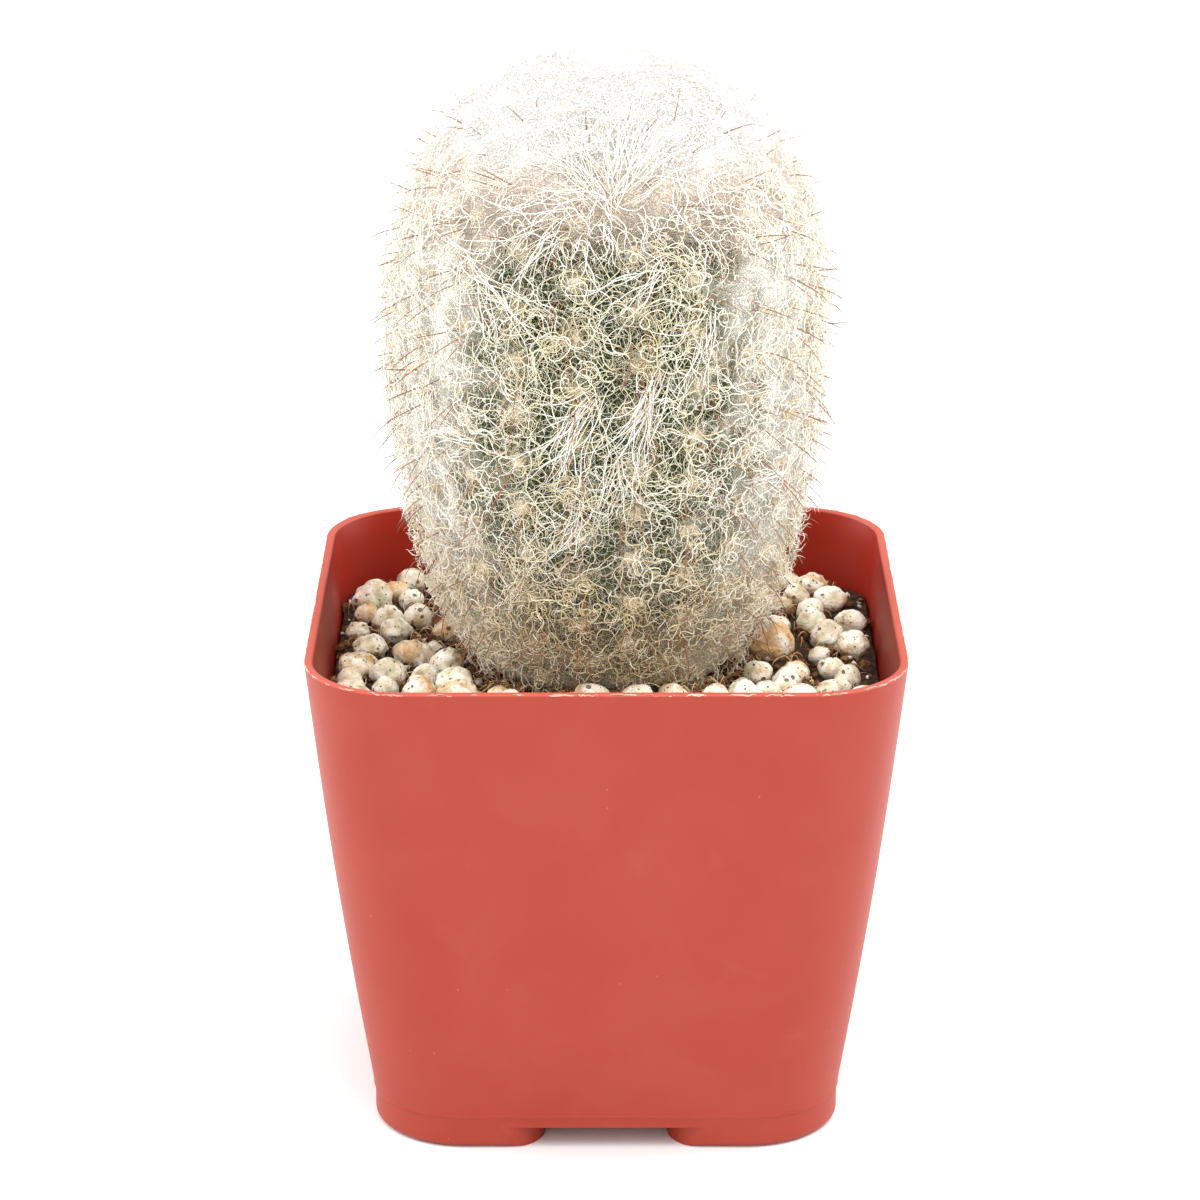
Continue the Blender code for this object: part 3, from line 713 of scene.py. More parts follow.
def spine_material():
    """Spines, straw at the root and red-brown to the tip."""
    look = Look("spine", 0.45)
    along = look.along_strand()
    tone = look.ramp(
        along["X"], (0.0, (0.60, 0.42, 0.22)), (0.45, (0.36, 0.14, 0.055)), (1.0, (0.20, 0.055, 0.025)))
    shade = look.ramp(along["Y"], (0.0, 0.7), (1.0, 1.0))
    return look.painted(look.blend(1.0, tone, shade, "MULTIPLY"))


def wall_half_width(z):
    """Half width of the pot outside, from the foot band to the rim, with walls that bow out a little."""
    foot = BAND_WIDTH / 2 + BAND_STEP
    along = (z - BAND_HEIGHT) / (POT_HEIGHT - BAND_HEIGHT)
    return foot + (RIM_WIDTH / 2 - foot) * along + WALL_BOW * math.sin(math.pi * min(1.0, along))


def corner_radius(z):
    return BASE_CORNER + (RIM_CORNER - BASE_CORNER) * z / POT_HEIGHT


def rounded_square(half, radius):
    """Points round a square with rounded corners, anticlockwise, with steps along its sides."""
    points = []
    flat = half - radius
    for corner in range(4):
        turn = Matrix.Rotation(corner * math.pi / 2, 2)
        for step in range(CORNER_STEPS + 1):
            angle = math.pi / 2 * step / CORNER_STEPS
            across = flat + radius * math.cos(angle)
            points.append(turn @ Vector((across, flat + radius * math.sin(angle))))
        for step in range(1, SIDE_STEPS):
            points.append(turn @ Vector((flat * (1 - 2 * step / SIDE_STEPS), half)))
    return points


def block_through(levels):
    """Closed block through rounded squares, each a height, a half width and a corner radius."""
    bm = bmesh.new()
    height, half, radius = levels[0]
    face = bm.faces.new([bm.verts.new((*point, height)) for point in rounded_square(half, radius)])
    for height, half, radius in levels[1:]:
        face = extruded(bm, face)
        for vert, point in zip(face.verts, rounded_square(half, radius)):
            vert.co = (*point, height)
    face_out(bm)
    return bm


def wall_levels(low, high, inset):
    heights = [low + (high - low) * step / WALL_LEVELS for step in range(WALL_LEVELS + 1)]
    return [(z, wall_half_width(z) - inset, corner_radius(z) - inset) for z in heights]


def outside_levels():
    """The pot outside: rounded feet, a band that ends in a fine bead, and the bowed wall."""
    levels = []
    for step in range(BOTTOM_STEPS + 1):
        angle = math.pi / 2 * step / BOTTOM_STEPS
        height = BOTTOM_ROUND * (1 - math.cos(angle))
        set_in = BOTTOM_ROUND * (1 - math.sin(angle))
        levels.append((height, BAND_WIDTH / 2 - set_in, BASE_CORNER - set_in))
    corner = corner_radius(BAND_HEIGHT)
    bead_half = BAND_WIDTH / 2 + BAND_STEP + BEAD
    levels.append((BAND_HEIGHT - BEAD_HEIGHT, BAND_WIDTH / 2, corner))
    levels.append((BAND_HEIGHT - BEAD_HEIGHT / 3, bead_half - BEAD / 2, corner))
    levels.append((BAND_HEIGHT, bead_half, corner))
    levels.append((BAND_HEIGHT + BEAD_HEIGHT / 3, bead_half - BEAD / 2, corner))
    return levels + wall_levels(BAND_HEIGHT + BEAD_HEIGHT, POT_HEIGHT - RIM_ROUND, 0.0)


def lip_levels():
    """The lip: rounded edges outside and inside, and a flat top."""
    half = wall_half_width(POT_HEIGHT)
    outer = []
    inner = []
    for step in range(1, LIP_STEPS + 1):
        angle = math.pi / 2 * step / LIP_STEPS
        height = POT_HEIGHT - RIM_ROUND * (1 - math.sin(angle))
        inset = RIM_ROUND * (1 - math.cos(angle))
        outer.append((height, half - inset, RIM_CORNER - inset))
        inner.append((height, half - WALL + inset, RIM_CORNER - WALL + inset))
    return outer + inner[::-1]


def inside_levels(inset, top):
    """The pot's hollow from its floor to a height, drawn in by a gap."""
    floor = FLOOR + inset
    band = BAND_WIDTH / 2 - WALL - inset
    corner = BASE_CORNER - WALL - inset
    levels = [(floor, band - BOTTOM_ROUND, corner - BOTTOM_ROUND), (floor + BOTTOM_ROUND, band, corner)]
    return levels + wall_levels(BAND_HEIGHT, top, WALL + inset)


def cross_block(half_width, end_round, low, high):
    """Plus-shaped block whose arms widen by an arc where they come out under the pot's wall."""
    reach = BAND_WIDTH / 2
    arc_centre = Vector((half_width + end_round, reach - end_round))
    side = [Vector((half_width, half_width))]
    for step in range(FOOT_END_STEPS + 1):
        angle = math.pi - math.pi / 2 * step / FOOT_END_STEPS
        side.append(arc_centre + end_round * Vector((math.cos(angle), math.sin(angle))))
    side.append(Vector((half_width + end_round, reach + WALL)))
    arm = side + [Vector((-point.x, point.y)) for point in reversed(side[1:])]
    bm = bmesh.new()
    outline = []
    for quarter in range(4):
        turn = Matrix.Rotation(quarter * math.pi / 2, 2)
        outline += [bm.verts.new((*(turn @ point), low)) for point in arm]
    face = extruded(bm, bm.faces.new(outline))
    bmesh.ops.translate(bm, verts=face.verts[:], vec=(0, 0, high - low))
    face_out(bm)
    return bm


def drop(*objects):
    for item in objects:
        bpy.data.objects.remove(item, do_unlink=True)


def raised_floor_block(gap):
    return cross_block(CHANNEL_WIDTH / 2 + FLOOR + gap, FOOT_END_ROUND - FLOOR - gap, -2 * FLOOR,
                       CHANNEL_HEIGHT + FLOOR + gap)


def drain_block():
    """Short rods where the drain holes go."""
    bm = bmesh.new()
    places = [Vector((0, 0, CHANNEL_HEIGHT))]
    places += [Matrix.Rotation(k * math.pi / 2, 3, "Z") @ Vector((DRAIN_SPREAD, 0, CHANNEL_HEIGHT))
               for k in range(4)]
    for place in places:
        bmesh.ops.create_cone(
            bm, cap_ends=True, segments=DRAIN_SIDES, radius1=DRAIN_RADIUS, radius2=DRAIN_RADIUS,
            depth=DRAIN_CUT, matrix=Matrix.Translation(place))
    return bm


def pot_side(centre):
    """Which of the pot's materials a face has: outside, lip painted paler as a highlight, or inside
    painted darker as shade.
    """
    corner = corner_radius(centre.z)
    flat = wall_half_width(centre.z) - corner
    x, y = abs(centre.x), abs(centre.y)
    over = math.hypot(max(0.0, x - flat), max(0.0, y - flat))
    outside = max(max(x, y) - flat, over) > corner - WALL / 2
    if centre.z > POT_HEIGHT - RIM_ROUND:
        return 1
    return 2 if not outside and centre.z > CHANNEL_HEIGHT + FLOOR / 2 else 0


def make_pot(materials):
    inside = inside_levels(0.0, POT_HEIGHT - RIM_ROUND)
    shell = block_through(outside_levels() + lip_levels() + inside[::-1])
    for vert in shell.verts:
        warp = noise.noise(vert.co / WARP_SIZE) * WARP
        vert.co.x *= 1 + warp / RIM_WIDTH
        vert.co.y *= 1 + warp / RIM_WIDTH
    pot = object_from(shell, "pot_shell", *materials)
    wall = WALL / 2
    middle = [(z, half + wall, radius + wall) for z, half, radius in inside_levels(0.0, SOIL_HEIGHT)]
    core = object_from(block_through([(FLOOR / 2, *middle[0][1:]), *middle[1:]]), "core")
    raised = object_from(raised_floor_block(0.0), "raised_floor")
    add_boolean(raised, "INTERSECT", core)
    cross = cross_block(CHANNEL_WIDTH / 2, FOOT_END_ROUND, -FLOOR, CHANNEL_HEIGHT)
    channel = object_from(cross, "channel")
    drains = object_from(drain_block(), "drains")
    add_boolean(pot, "UNION", raised)
    add_boolean(pot, "DIFFERENCE", channel)
    add_boolean(pot, "DIFFERENCE", drains)
    apply_modifiers(pot)
    drop(core, raised, channel, drains)
    shade_round(pot, 38)
    for face in pot.data.polygons:
        face.material_index = pot_side(face.center)
    stands_for(pot, "pot")


def make_rim_flash(material):
    """Ragged slivers of moulding flash along the lip's outer edge, painted pale pink as a painted
    highlight.
    """
    rng = np.random.default_rng(SEED)
    half = wall_half_width(POT_HEIGHT) - RIM_ROUND / 2
    ring = np.array([tuple(point) for point in rounded_square(half, RIM_CORNER - RIM_ROUND / 2)])
    ring = np.vstack((ring, ring[:1]))
    run = np.concatenate(([0.0], np.cumsum(np.hypot(*np.diff(ring, axis=0).T))))
    paths = []
    for _ in range(FLASH_COUNT):
        start = rng.uniform(0, run[-1])
        along = (start + np.linspace(0, rng.uniform(*FLASH_LENGTH), FLASH_POINTS)) % run[-1]
        flat = np.column_stack([np.interp(along, run, ring[:, axis]) for axis in range(2)])
        height = POT_HEIGHT - 0.3 * RIM_ROUND + rng.uniform(-FLASH_WANDER, FLASH_WANDER, FLASH_POINTS)
        out = 1 + rng.uniform(-0.2, 1.0, FLASH_POINTS) * FLASH_WANDER / half
        paths.append(np.column_stack((flat * out[:, None], height)))
    thickness = rng.uniform(*FLASH_THICKNESS, FLASH_COUNT)
    piece = strands("rim_flash", np.array(paths), thickness, FLASH_SIDES, material, rng, blunt=True)
    stands_for(piece, "pot")


def soil_surface(x, y):
    """Height of the soil: a low mound round the stem, a bank at the front and smooth lumps."""
    mound = SOIL_MOUND * max(0.0, 1 - math.hypot(x, y) / SOIL_MOUND_RADIUS)
    bank = SOIL_BANK * float(smooth_step(SOIL_BANK_FROM, SOIL_BANK_TO, -y))
    return SOIL_HEIGHT + mound + bank + SOIL_LUMP * noise.noise(Vector((x, y, 0)) / SOIL_LUMP_SIZE)


def crumbly_surface(x, y):
    place = Vector((x, y, 0.0))
    crumbs = CRUMB_HEIGHT * noise.noise(place / CRUMB_SIZE) + GRIT_HEIGHT * noise.noise(place / GRIT_SIZE)
    return soil_surface(x, y) + crumbs


def into_rounded_square(a, b, half, radius):
    """Place in a rounded square of a point of the square from -1 to 1."""
    flat = 1 - radius / half
    x, y = abs(a), abs(b)
    if x > flat and y > flat:
        u, v = (x - flat) / (1 - flat), (y - flat) / (1 - flat)
        turn = math.pi / 4 * (v / u if u >= v else 2 - u / v)
        x = flat + (1 - flat) * max(u, v) * math.cos(turn)
        y = flat + (1 - flat) * max(u, v) * math.sin(turn)
    return math.copysign(x, a) * half, math.copysign(y, b) * half


def make_soil_bed(material):
    """The soil, with a crumbly top, that fills the pot and leaves a plain hole for the stem."""
    half = wall_half_width(SOIL_HEIGHT) - WALL - GAP
    radius = corner_radius(SOIL_HEIGHT) - WALL - GAP
    bm = bmesh.new()
    bmesh.ops.create_grid(bm, x_segments=SOIL_CELLS, y_segments=SOIL_CELLS, size=1)
    for vert in bm.verts:
        x, y = into_rounded_square(vert.co.x, vert.co.y, half, radius)
        vert.co = (x, y, crumbly_surface(x, y))
    for z, inset in ((SOIL_SHOULDER, WALL), (BAND_HEIGHT, WALL), (FLOOR + GAP, WALL + BOTTOM_ROUND)):
        made = bmesh.ops.extrude_edge_only(bm, edges=open_edges(bm))["geom"]
        wide = (wall_half_width(z) - inset - GAP) / half
        for vert in made:
            if isinstance(vert, bmesh.types.BMVert):
                vert.co.x *= wide
                vert.co.y *= wide
                vert.co.z = z
        half = wide * half
    bmesh.ops.holes_fill(bm, edges=open_edges(bm), sides=0)
    face_out(bm)
    soil = object_from(bm, "soil_bed", material)
    raised = object_from(raised_floor_block(GAP), "raised_floor_and_gap")
    hole = object_from(stem_hole(), "stem_hole")
    add_boolean(soil, "DIFFERENCE", raised)
    add_boolean(soil, "DIFFERENCE", hole)
    apply_modifiers(soil)
    drop(raised, hole)
    shade_round(soil, 60)
    of_soil(soil)


def stem_hole():
    """A turned cutter for the stem, wider than it by the gap."""
    bm = bmesh.new()
    sides = 2 * RIBS
    foot = Matrix.Translation((0, 0, STEM_FOOT_HEIGHT - GAP))
    bmesh.ops.create_circle(bm, cap_ends=True, segments=sides, radius=STEM_FOOT_RADIUS + GAP, matrix=foot)
    bm.faces.ensure_lookup_table()
    face = bm.faces[0]
    for z in np.linspace(STEM_FOOT_HEIGHT, HOLE_TOP, RIB_COLUMNS + 1):
        face = extruded(bm, face)
        width = float(np.interp(z, PLANT.heights, PLANT.radii)) + GAP
        for vert in face.verts:
            vert.co = width * vert.co.xy.normalized().to_3d()
            vert.co.z = z
    face_out(bm)
    return bm


def soil_spots(rng, count, clear):
    """Seeded places on the soil, clear of the stem and the wall."""
    room = wall_half_width(SOIL_HEIGHT) - WALL - clear
    corner = corner_radius(SOIL_HEIGHT)
    spots = []
    while len(spots) < count:
        x, y = rng.uniform(-room, room), rng.uniform(-room, room)
        over = math.hypot(max(0.0, abs(x) - room + corner), max(0.0, abs(y) - room + corner))
        if over < corner and math.hypot(x, y) > NECK_RADIUS + clear:
            spots.append((x, y))
    return spots


def make_chunks(name, count, radii, material, seed):
    """Small broken lumps strewn on the soil."""
    rng = random.Random(seed)
    bm = bmesh.new()
    for x, y in soil_spots(rng, count, CHUNK_CLEAR):
        radius = rng.uniform(*radii)
        angle = rng.uniform(0, math.tau)
        turn = Matrix.Rotation(angle, 4, (rng.random(), rng.random(), rng.random() + 0.1))
        size = Matrix.Diagonal((radius, radius * rng.uniform(0.6, 1.0), radius * rng.uniform(0.5, 0.9), 1))
        rise = crumbly_surface(x, y) + radius * rng.uniform(0.0, 0.8)
        made = bmesh.ops.create_icosphere(
            bm, subdivisions=1, radius=1, matrix=Matrix.Translation((x, y, rise)) @ turn @ size)
        centre = Vector((x, y, rise))
        for vert in made["verts"]:
            vert.co = centre + (vert.co - centre) * rng.uniform(0.7, 1.25)
    of_soil(object_from(bm, name, material))


def make_fibres(material):
    """Coir fibres that lie on the soil and curl out of it."""
    rng = random.Random(SEED)
    draw = np.random.default_rng(SEED)
    paths = []
    spots = soil_spots(rng, FIBRE_COUNT, FIBRE_CLEAR)
    for _ in range(STEM_FIBRE_COUNT):
        out, round_stem = rng.uniform(*STEM_FIBRE_REACH), rng.uniform(0, math.tau)
        spots.append((out * math.cos(round_stem), out * math.sin(round_stem)))
    for x, y in spots:
        heading = rng.uniform(0, math.tau)
        bend = rng.uniform(-FIBRE_BEND, FIBRE_BEND)
        step = rng.uniform(*FIBRE_LENGTH) / (FIBRE_POINTS - 1)
        arch = rng.uniform(*FIBRE_ARCH)
        path = []
        for index in range(FIBRE_POINTS):
            along = index / (FIBRE_POINTS - 1)
            height = crumbly_surface(x, y) - FIBRE_SINK + arch * math.sin(math.pi * along)
            path.append((x, y, height))
            heading += bend + rng.uniform(-0.3, 0.3)
            x += step * math.cos(heading)
            y += step * math.sin(heading)
        paths.append(path)
    paths = np.array(paths)
    room = wall_half_width(SOIL_HEIGHT) - WALL - GAP - FIBRE_FROM_WALL
    paths = paths[np.abs(paths[:, :, :2]).max(axis=(1, 2)) < room]
    thickness = draw.uniform(*FIBRE_THICKNESS, len(paths))
    of_soil(strands("soil_fibres", paths, thickness, FIBRE_SIDES, material, draw))


def pebble_places():
    """Place, radius, tan and moss of the pebbles: the placed ones, then seeded ones where they fit."""
    rng = random.Random(PEBBLE_SEED)
    tint = random.Random(SEED)
    placed = [(x * MM, y * MM, radius * MM, tan, moss) for x, y, radius, tan, moss in PLACED_PEBBLES]
    wall = wall_half_width(SOIL_HEIGHT) - WALL - 2 * GAP
    corner = corner_radius(SOIL_HEIGHT)
    for _ in range(PEBBLE_TRIES):
        radius = rng.uniform(*PEBBLE_RADIUS)
        room = wall - PEBBLE_ROOM * radius
        x = rng.uniform(-room, room)
        y = rng.uniform(-room, room)
        beyond = math.hypot(max(0.0, abs(x) - wall + corner), max(0.0, abs(y) - wall + corner))
        if beyond > corner - PEBBLE_ROOM * radius or math.hypot(x, y) < PEBBLE_CLEAR_OF_STEM + radius:
            continue
        if all(math.hypot(x - other[0], y - other[1]) > PEBBLE_SPACING * (radius + other[2])
               for other in placed):
            placed.append((x, y, radius, tint.random() ** 2, max(0.0, tint.uniform(-1.5, 0.7))))
    return placed


def make_pebbles(material):
    """The pebbles, as lumpy as the solid model's and finer."""
    rng = random.Random(PEBBLE_SEED)
    bm = bmesh.new()
    layers = {title: bm.verts.layers.float.new(title) for title in ("tan", "moss", "low")}
    for x, y, radius, tan, moss in pebble_places():
        fine = 4 if radius > FINE_PEBBLE_RADIUS else 3
        made = bmesh.ops.create_icosphere(bm, subdivisions=fine, radius=1)["verts"]
        shift = Vector([rng.uniform(0, NOISE_REACH) for _ in range(3)])
        half_height = PEBBLE_TALLER * radius * rng.uniform(*PEBBLE_HALF_HEIGHT)
        size = Matrix.Diagonal((radius * rng.uniform(*PEBBLE_LENGTH), radius, half_height, 1))
        tilt = Matrix.Rotation(rng.uniform(-PEBBLE_TILT, PEBBLE_TILT), 4, "X")
        turn = Matrix.Rotation(rng.uniform(0, 2 * math.pi), 4, "Z") @ tilt
        rise = soil_surface(x, y) + half_height * (1 - 2 * PEBBLE_SINK)
        place = Matrix.Translation((x, y, rise)) @ turn @ size
        for vert in made:
            lump = PEBBLE_LUMP * noise.noise(vert.co + shift)
            knob = PEBBLE_KNOB * noise.noise(PEBBLE_KNOBS_FINER * vert.co + shift)
            vert.co *= 1 + lump + knob
            vert.co = place @ vert.co
            over = (vert.co.z - soil_surface(x, y)) / radius
            vert[layers["tan"]] = tan
            vert[layers["moss"]] = moss
            # How low a point sits on the soil, for soil stain and painted contact shade
            vert[layers["low"]] = float(1 - smooth_step(0.0, PEBBLE_SOIL_AND_SHADE, over))
    of_soil(smooth_from(bm, "pebbles", material))


def body_profile():
    """Radii and heights of the turned body at close steps, from the stem's foot to the top."""
    stem_z = np.linspace(STEM_FOOT_HEIGHT, NECK_HEIGHT, STEM_STEPS)
    along = (stem_z - STEM_FOOT_HEIGHT) / (NECK_HEIGHT - STEM_FOOT_HEIGHT)
    stem_r = STEM_FOOT_RADIUS + (NECK_RADIUS - STEM_FOOT_RADIUS) * np.sin(along * math.pi / 2)
    side_z = np.linspace(NECK_HEIGHT, WIDEST_HEIGHT, SIDE_PROFILE_STEPS)[1:]
    along = (side_z - NECK_HEIGHT) / (WIDEST_HEIGHT - NECK_HEIGHT)
    side_r = NECK_RADIUS + (WIDEST_RADIUS - NECK_RADIUS) * np.sin(along * math.pi / 2) ** NECK_POWER
    angle = np.linspace(0, math.pi / 2, SHOULDER_STEPS)[1:]
    power = 2 / SHOULDER_POWER
    top_r = WIDEST_RADIUS * np.clip(np.cos(angle), 0, 1) ** power
    top_z = WIDEST_HEIGHT + (BODY_TOP - WIDEST_HEIGHT) * np.sin(angle) ** power
    top_r[-1] = 0.0
    return np.concatenate((stem_r, side_r, top_r)), np.concatenate((stem_z, side_z, top_z))


class Plant:
    """The plant's turned body, looked up at many places at once."""

    def __init__(self):
        self.radii, self.heights = body_profile()
        steps = np.hypot(np.diff(self.radii), np.diff(self.heights))
        self.lengths = np.concatenate(([0.0], np.cumsum(steps)))
        self.levels = np.arange(TABLE_LOW, TABLE_HIGH, TABLE_STEP)
        rows = []
        for out in np.arange(0, TABLE_REACH, TABLE_STEP):
            apart = np.hypot(self.radii[None, :] - out, self.heights[None, :] - self.levels[:, None])
            rows.append(self.lengths[apart.argmin(axis=1)])
        self.table = np.array(rows)

    def nearest(self, out, z):
        """Length along the profile of the place nearest to points."""
        a = np.clip(out / TABLE_STEP, 0, self.table.shape[0] - 1.001)
        b = np.clip((z - TABLE_LOW) / TABLE_STEP, 0, self.table.shape[1] - 1.001)
        i, j = a.astype(int), b.astype(int)
        u, v = a - i, b - j
        low = self.table[i, j] * (1 - u) + self.table[i + 1, j] * u
        high = self.table[i, j + 1] * (1 - u) + self.table[i + 1, j + 1] * u
        return low * (1 - v) + high * v

    def radius(self, length):
        return np.interp(length, self.lengths, self.radii)

    def height(self, length):
        return np.interp(length, self.lengths, self.heights)

    def at(self, length):
        """Radius, height, and the outward direction's parts, across and up."""
        ahead, behind = length + SMALL_STEP, length - SMALL_STEP
        rise = self.height(ahead) - self.height(behind)
        spread = self.radius(ahead) - self.radius(behind)
        size = np.hypot(rise, spread)
        return self.radius(length), self.height(length), rise / size, -spread / size

    def seat(self, points, depth=0.0):
        """Points brought to a depth over the skin, and the outward directions there."""
        out = np.hypot(points[:, 0], points[:, 1])
        radius, height, across, up = self.at(self.nearest(out, points[:, 2]))
        side = points[:, :2] / np.maximum(out, TINY)[:, None]
        outward = np.column_stack((side * across[:, None], up))
        lift = np.reshape(depth, (-1, 1)) * outward
        place = np.column_stack((side * radius[:, None], height)) + lift
        return place, outward

    def over(self, angle, length, depth=0.0):
        """Points at angles round the stem and lengths along the profile, at a depth over the skin."""
        radius, height, across, up = self.at(length)
        out = radius + depth * across
        return np.stack((out * np.cos(angle), out * np.sin(angle), height + depth * up), axis=-1)


PLANT = Plant()


def wool_depth(z):
    """Depth of the wool, thin at the neck and thickest on the crown."""
    from_neck = smooth_step(FIRST_HAIR_HEIGHT, FIRST_HAIR_HEIGHT + NECK_ROWS * ROW_PITCH, z)
    to_crown = smooth_step(WIDEST_HEIGHT, BODY_TOP, z)
    side = NECK_WOOL_DEPTH + (WOOL_DEPTH - NECK_WOOL_DEPTH) * from_neck
    return side + (CROWN_WOOL_DEPTH - WOOL_DEPTH) * to_crown


def areole_places():
    """Angles and profile lengths of the areoles, in every second row of a rib, in turn with the next."""
    first = float(np.interp(FIRST_HAIR_HEIGHT, PLANT.heights, PLANT.lengths))
    last = PLANT.lengths[-1]
    count = round((last - first) / ROW_PITCH)
    found = []
    for row in range(1, count):
        length = first + (last - first) * row / count
        radius = PLANT.radius(length)
        step = 2 if radius < HALF_COLUMNS_WITHIN else 1
        if radius < QUARTER_COLUMNS_WITHIN:
            step = 4
        found += [(2 * math.pi * rib / RIBS, length) for rib in range(RIBS)
                  if 2 * rib % step == 0 and (row + rib) % 2 == 0]
    return np.array(found)


AREOLES = areole_places()


def turned_grid(columns, rows):
    """A grid for the turned body, with the angle and profile length of each of its points."""
    bm = bmesh.new()
    bmesh.ops.create_grid(bm, x_segments=columns, y_segments=rows, size=1)
    angle = np.array([(vert.co.x + 1) * math.pi for vert in bm.verts])
    length = np.array([(vert.co.y + 1) / 2 * PLANT.lengths[-1] for vert in bm.verts])
    return bm, angle, length


def closed_round(bm, places):
    """Wrap a turned grid round the plant and close its seam and its foot."""
    for vert, place in zip(bm.verts, places):
        vert.co = place
    bmesh.ops.remove_doubles(bm, verts=bm.verts[:], dist=SEAM_WELD)
    bmesh.ops.holes_fill(bm, edges=open_edges(bm), sides=0)
    face_out(bm)


def make_skin(material):
    """The ribbed skin, with a low mound under each areole."""
    bm, angle, length = turned_grid(RIBS * RIB_COLUMNS, SKIN_ROWS)
    height = PLANT.height(length)
    ribbed = smooth_step(FIRST_HAIR_HEIGHT, FIRST_HAIR_HEIGHT + NECK_ROWS * ROW_PITCH, height)
    across = (0.5 - 0.5 * np.cos(RIBS * angle)) ** 0.8
    groove = RIB_DEPTH * ribbed * PLANT.radius(length) / WIDEST_RADIUS * across
    rise = AREOLE_RISE * near_areoles(PLANT.over(angle, length, -groove), AREOLE_SPREAD)
    closed_round(bm, PLANT.over(angle, length, rise - groove))
    of_cactus(smooth_from(bm, "cactus_skin", material))


def near_areoles(places, spread):
    """How near places are to an areole: 1 on one, and falling off within a spread."""
    near = np.zeros(len(places))
    for areole in PLANT.over(*AREOLES.T):
        near = np.maximum(near, np.exp(-((places - areole) ** 2).sum(axis=1) / spread ** 2))
    return near


def make_mat(material):
    """The matted undercoat, a lumpy layer over half way up the wool."""
    bm, angle, length = turned_grid(MAT_COLUMNS, MAT_ROWS)
    height = PLANT.height(length)
    on_skin = PLANT.over(angle, length)
    layer = bm.verts.layers.float.new("near")
    for vert, near in zip(bm.verts, near_areoles(on_skin, NEAR_SPREAD)):
        vert[layer] = near
    lump = MAT_LUMP * np.array([noise.noise(Vector(point) / MAT_LUMP_SIZE) for point in on_skin])
    full = smooth_step(NECK_HEIGHT, FIRST_HAIR_HEIGHT + ROW_PITCH, height)
    depth = np.interp(height, MAT_HEIGHTS, MAT_SHARES) * wool_depth(height) + lump
    closed_round(bm, PLANT.over(angle, length, full * depth))
    of_cactus(smooth_from(bm, "wool_mat", material))


def make_tufts(material):
    """Tufts of felt on the areoles, that show half way up the wool."""
    rng = random.Random(SEED)
    bm = bmesh.new()
    low = PLANT.height(AREOLES[:, 1]) < TUFTS_BELOW
    feet = PLANT.over(*AREOLES[low].T)
    outward = PLANT.seat(feet)[1]
    for foot, out in zip(feet, outward):
        half = TUFT_SHARE / 2 * wool_depth(foot[2]) * rng.uniform(0.85, 1.15)
        radius = rng.uniform(*TUFT_RADIUS)
        shift = Vector([rng.uniform(0, NOISE_REACH) for _ in range(3)])
        made = bmesh.ops.create_icosphere(bm, subdivisions=2, radius=1)["verts"]
        turn = Vector(out).to_track_quat("Z", "Y").to_matrix().to_4x4()
        place = Matrix.Translation(foot + half * out) @ turn @ Matrix.Diagonal((radius, radius, half, 1))
        for vert in made:
            vert.co = place @ (vert.co * (1 + TUFT_LUMP * noise.noise(2 * vert.co + shift)))
    of_cactus(smooth_from(bm, "areoles", material))


def tube_mesh(name, paths, thickness, sides, taper):
    """Tubes along paths, strands by points by three, each with its own thickness."""
    ring = bpy.data.curves.new(name + "_ring", "CURVE")
    ring.dimensions = "3D"
    outline = ring.splines.new("POLY")
    outline.points.add(sides - 1)
    for side, point in enumerate(outline.points):
        turn = -math.tau * side / sides
        point.co = (math.cos(turn), math.sin(turn), 0.0, 1.0)
    outline.use_cyclic_u = True
    ring_object = bpy.data.objects.new(name + "_ring", ring)
    curve = bpy.data.curves.new(name, "CURVE")
    curve.dimensions = "3D"
    curve.bevel_mode = "OBJECT"
    curve.bevel_object = ring_object
    corners = np.concatenate((paths, np.ones((*paths.shape[:2], 1))), axis=2).astype(np.float32)
    for path, thick in zip(corners, thickness):
        spline = curve.splines.new("POLY")
        spline.points.add(len(path) - 1)
        spline.points.foreach_set("co", path.ravel())
        spline.points.foreach_set("radius", (taper * thick / 2).astype(np.float32))
    tubes = bpy.data.objects.new(name + "_curves", curve)
    for item in (ring_object, tubes):
        bpy.context.scene.collection.objects.link(item)
    graph = bpy.context.evaluated_depsgraph_get()
    mesh = bpy.data.meshes.new_from_object(tubes.evaluated_get(graph))
    drop(tubes, ring_object)
    return mesh


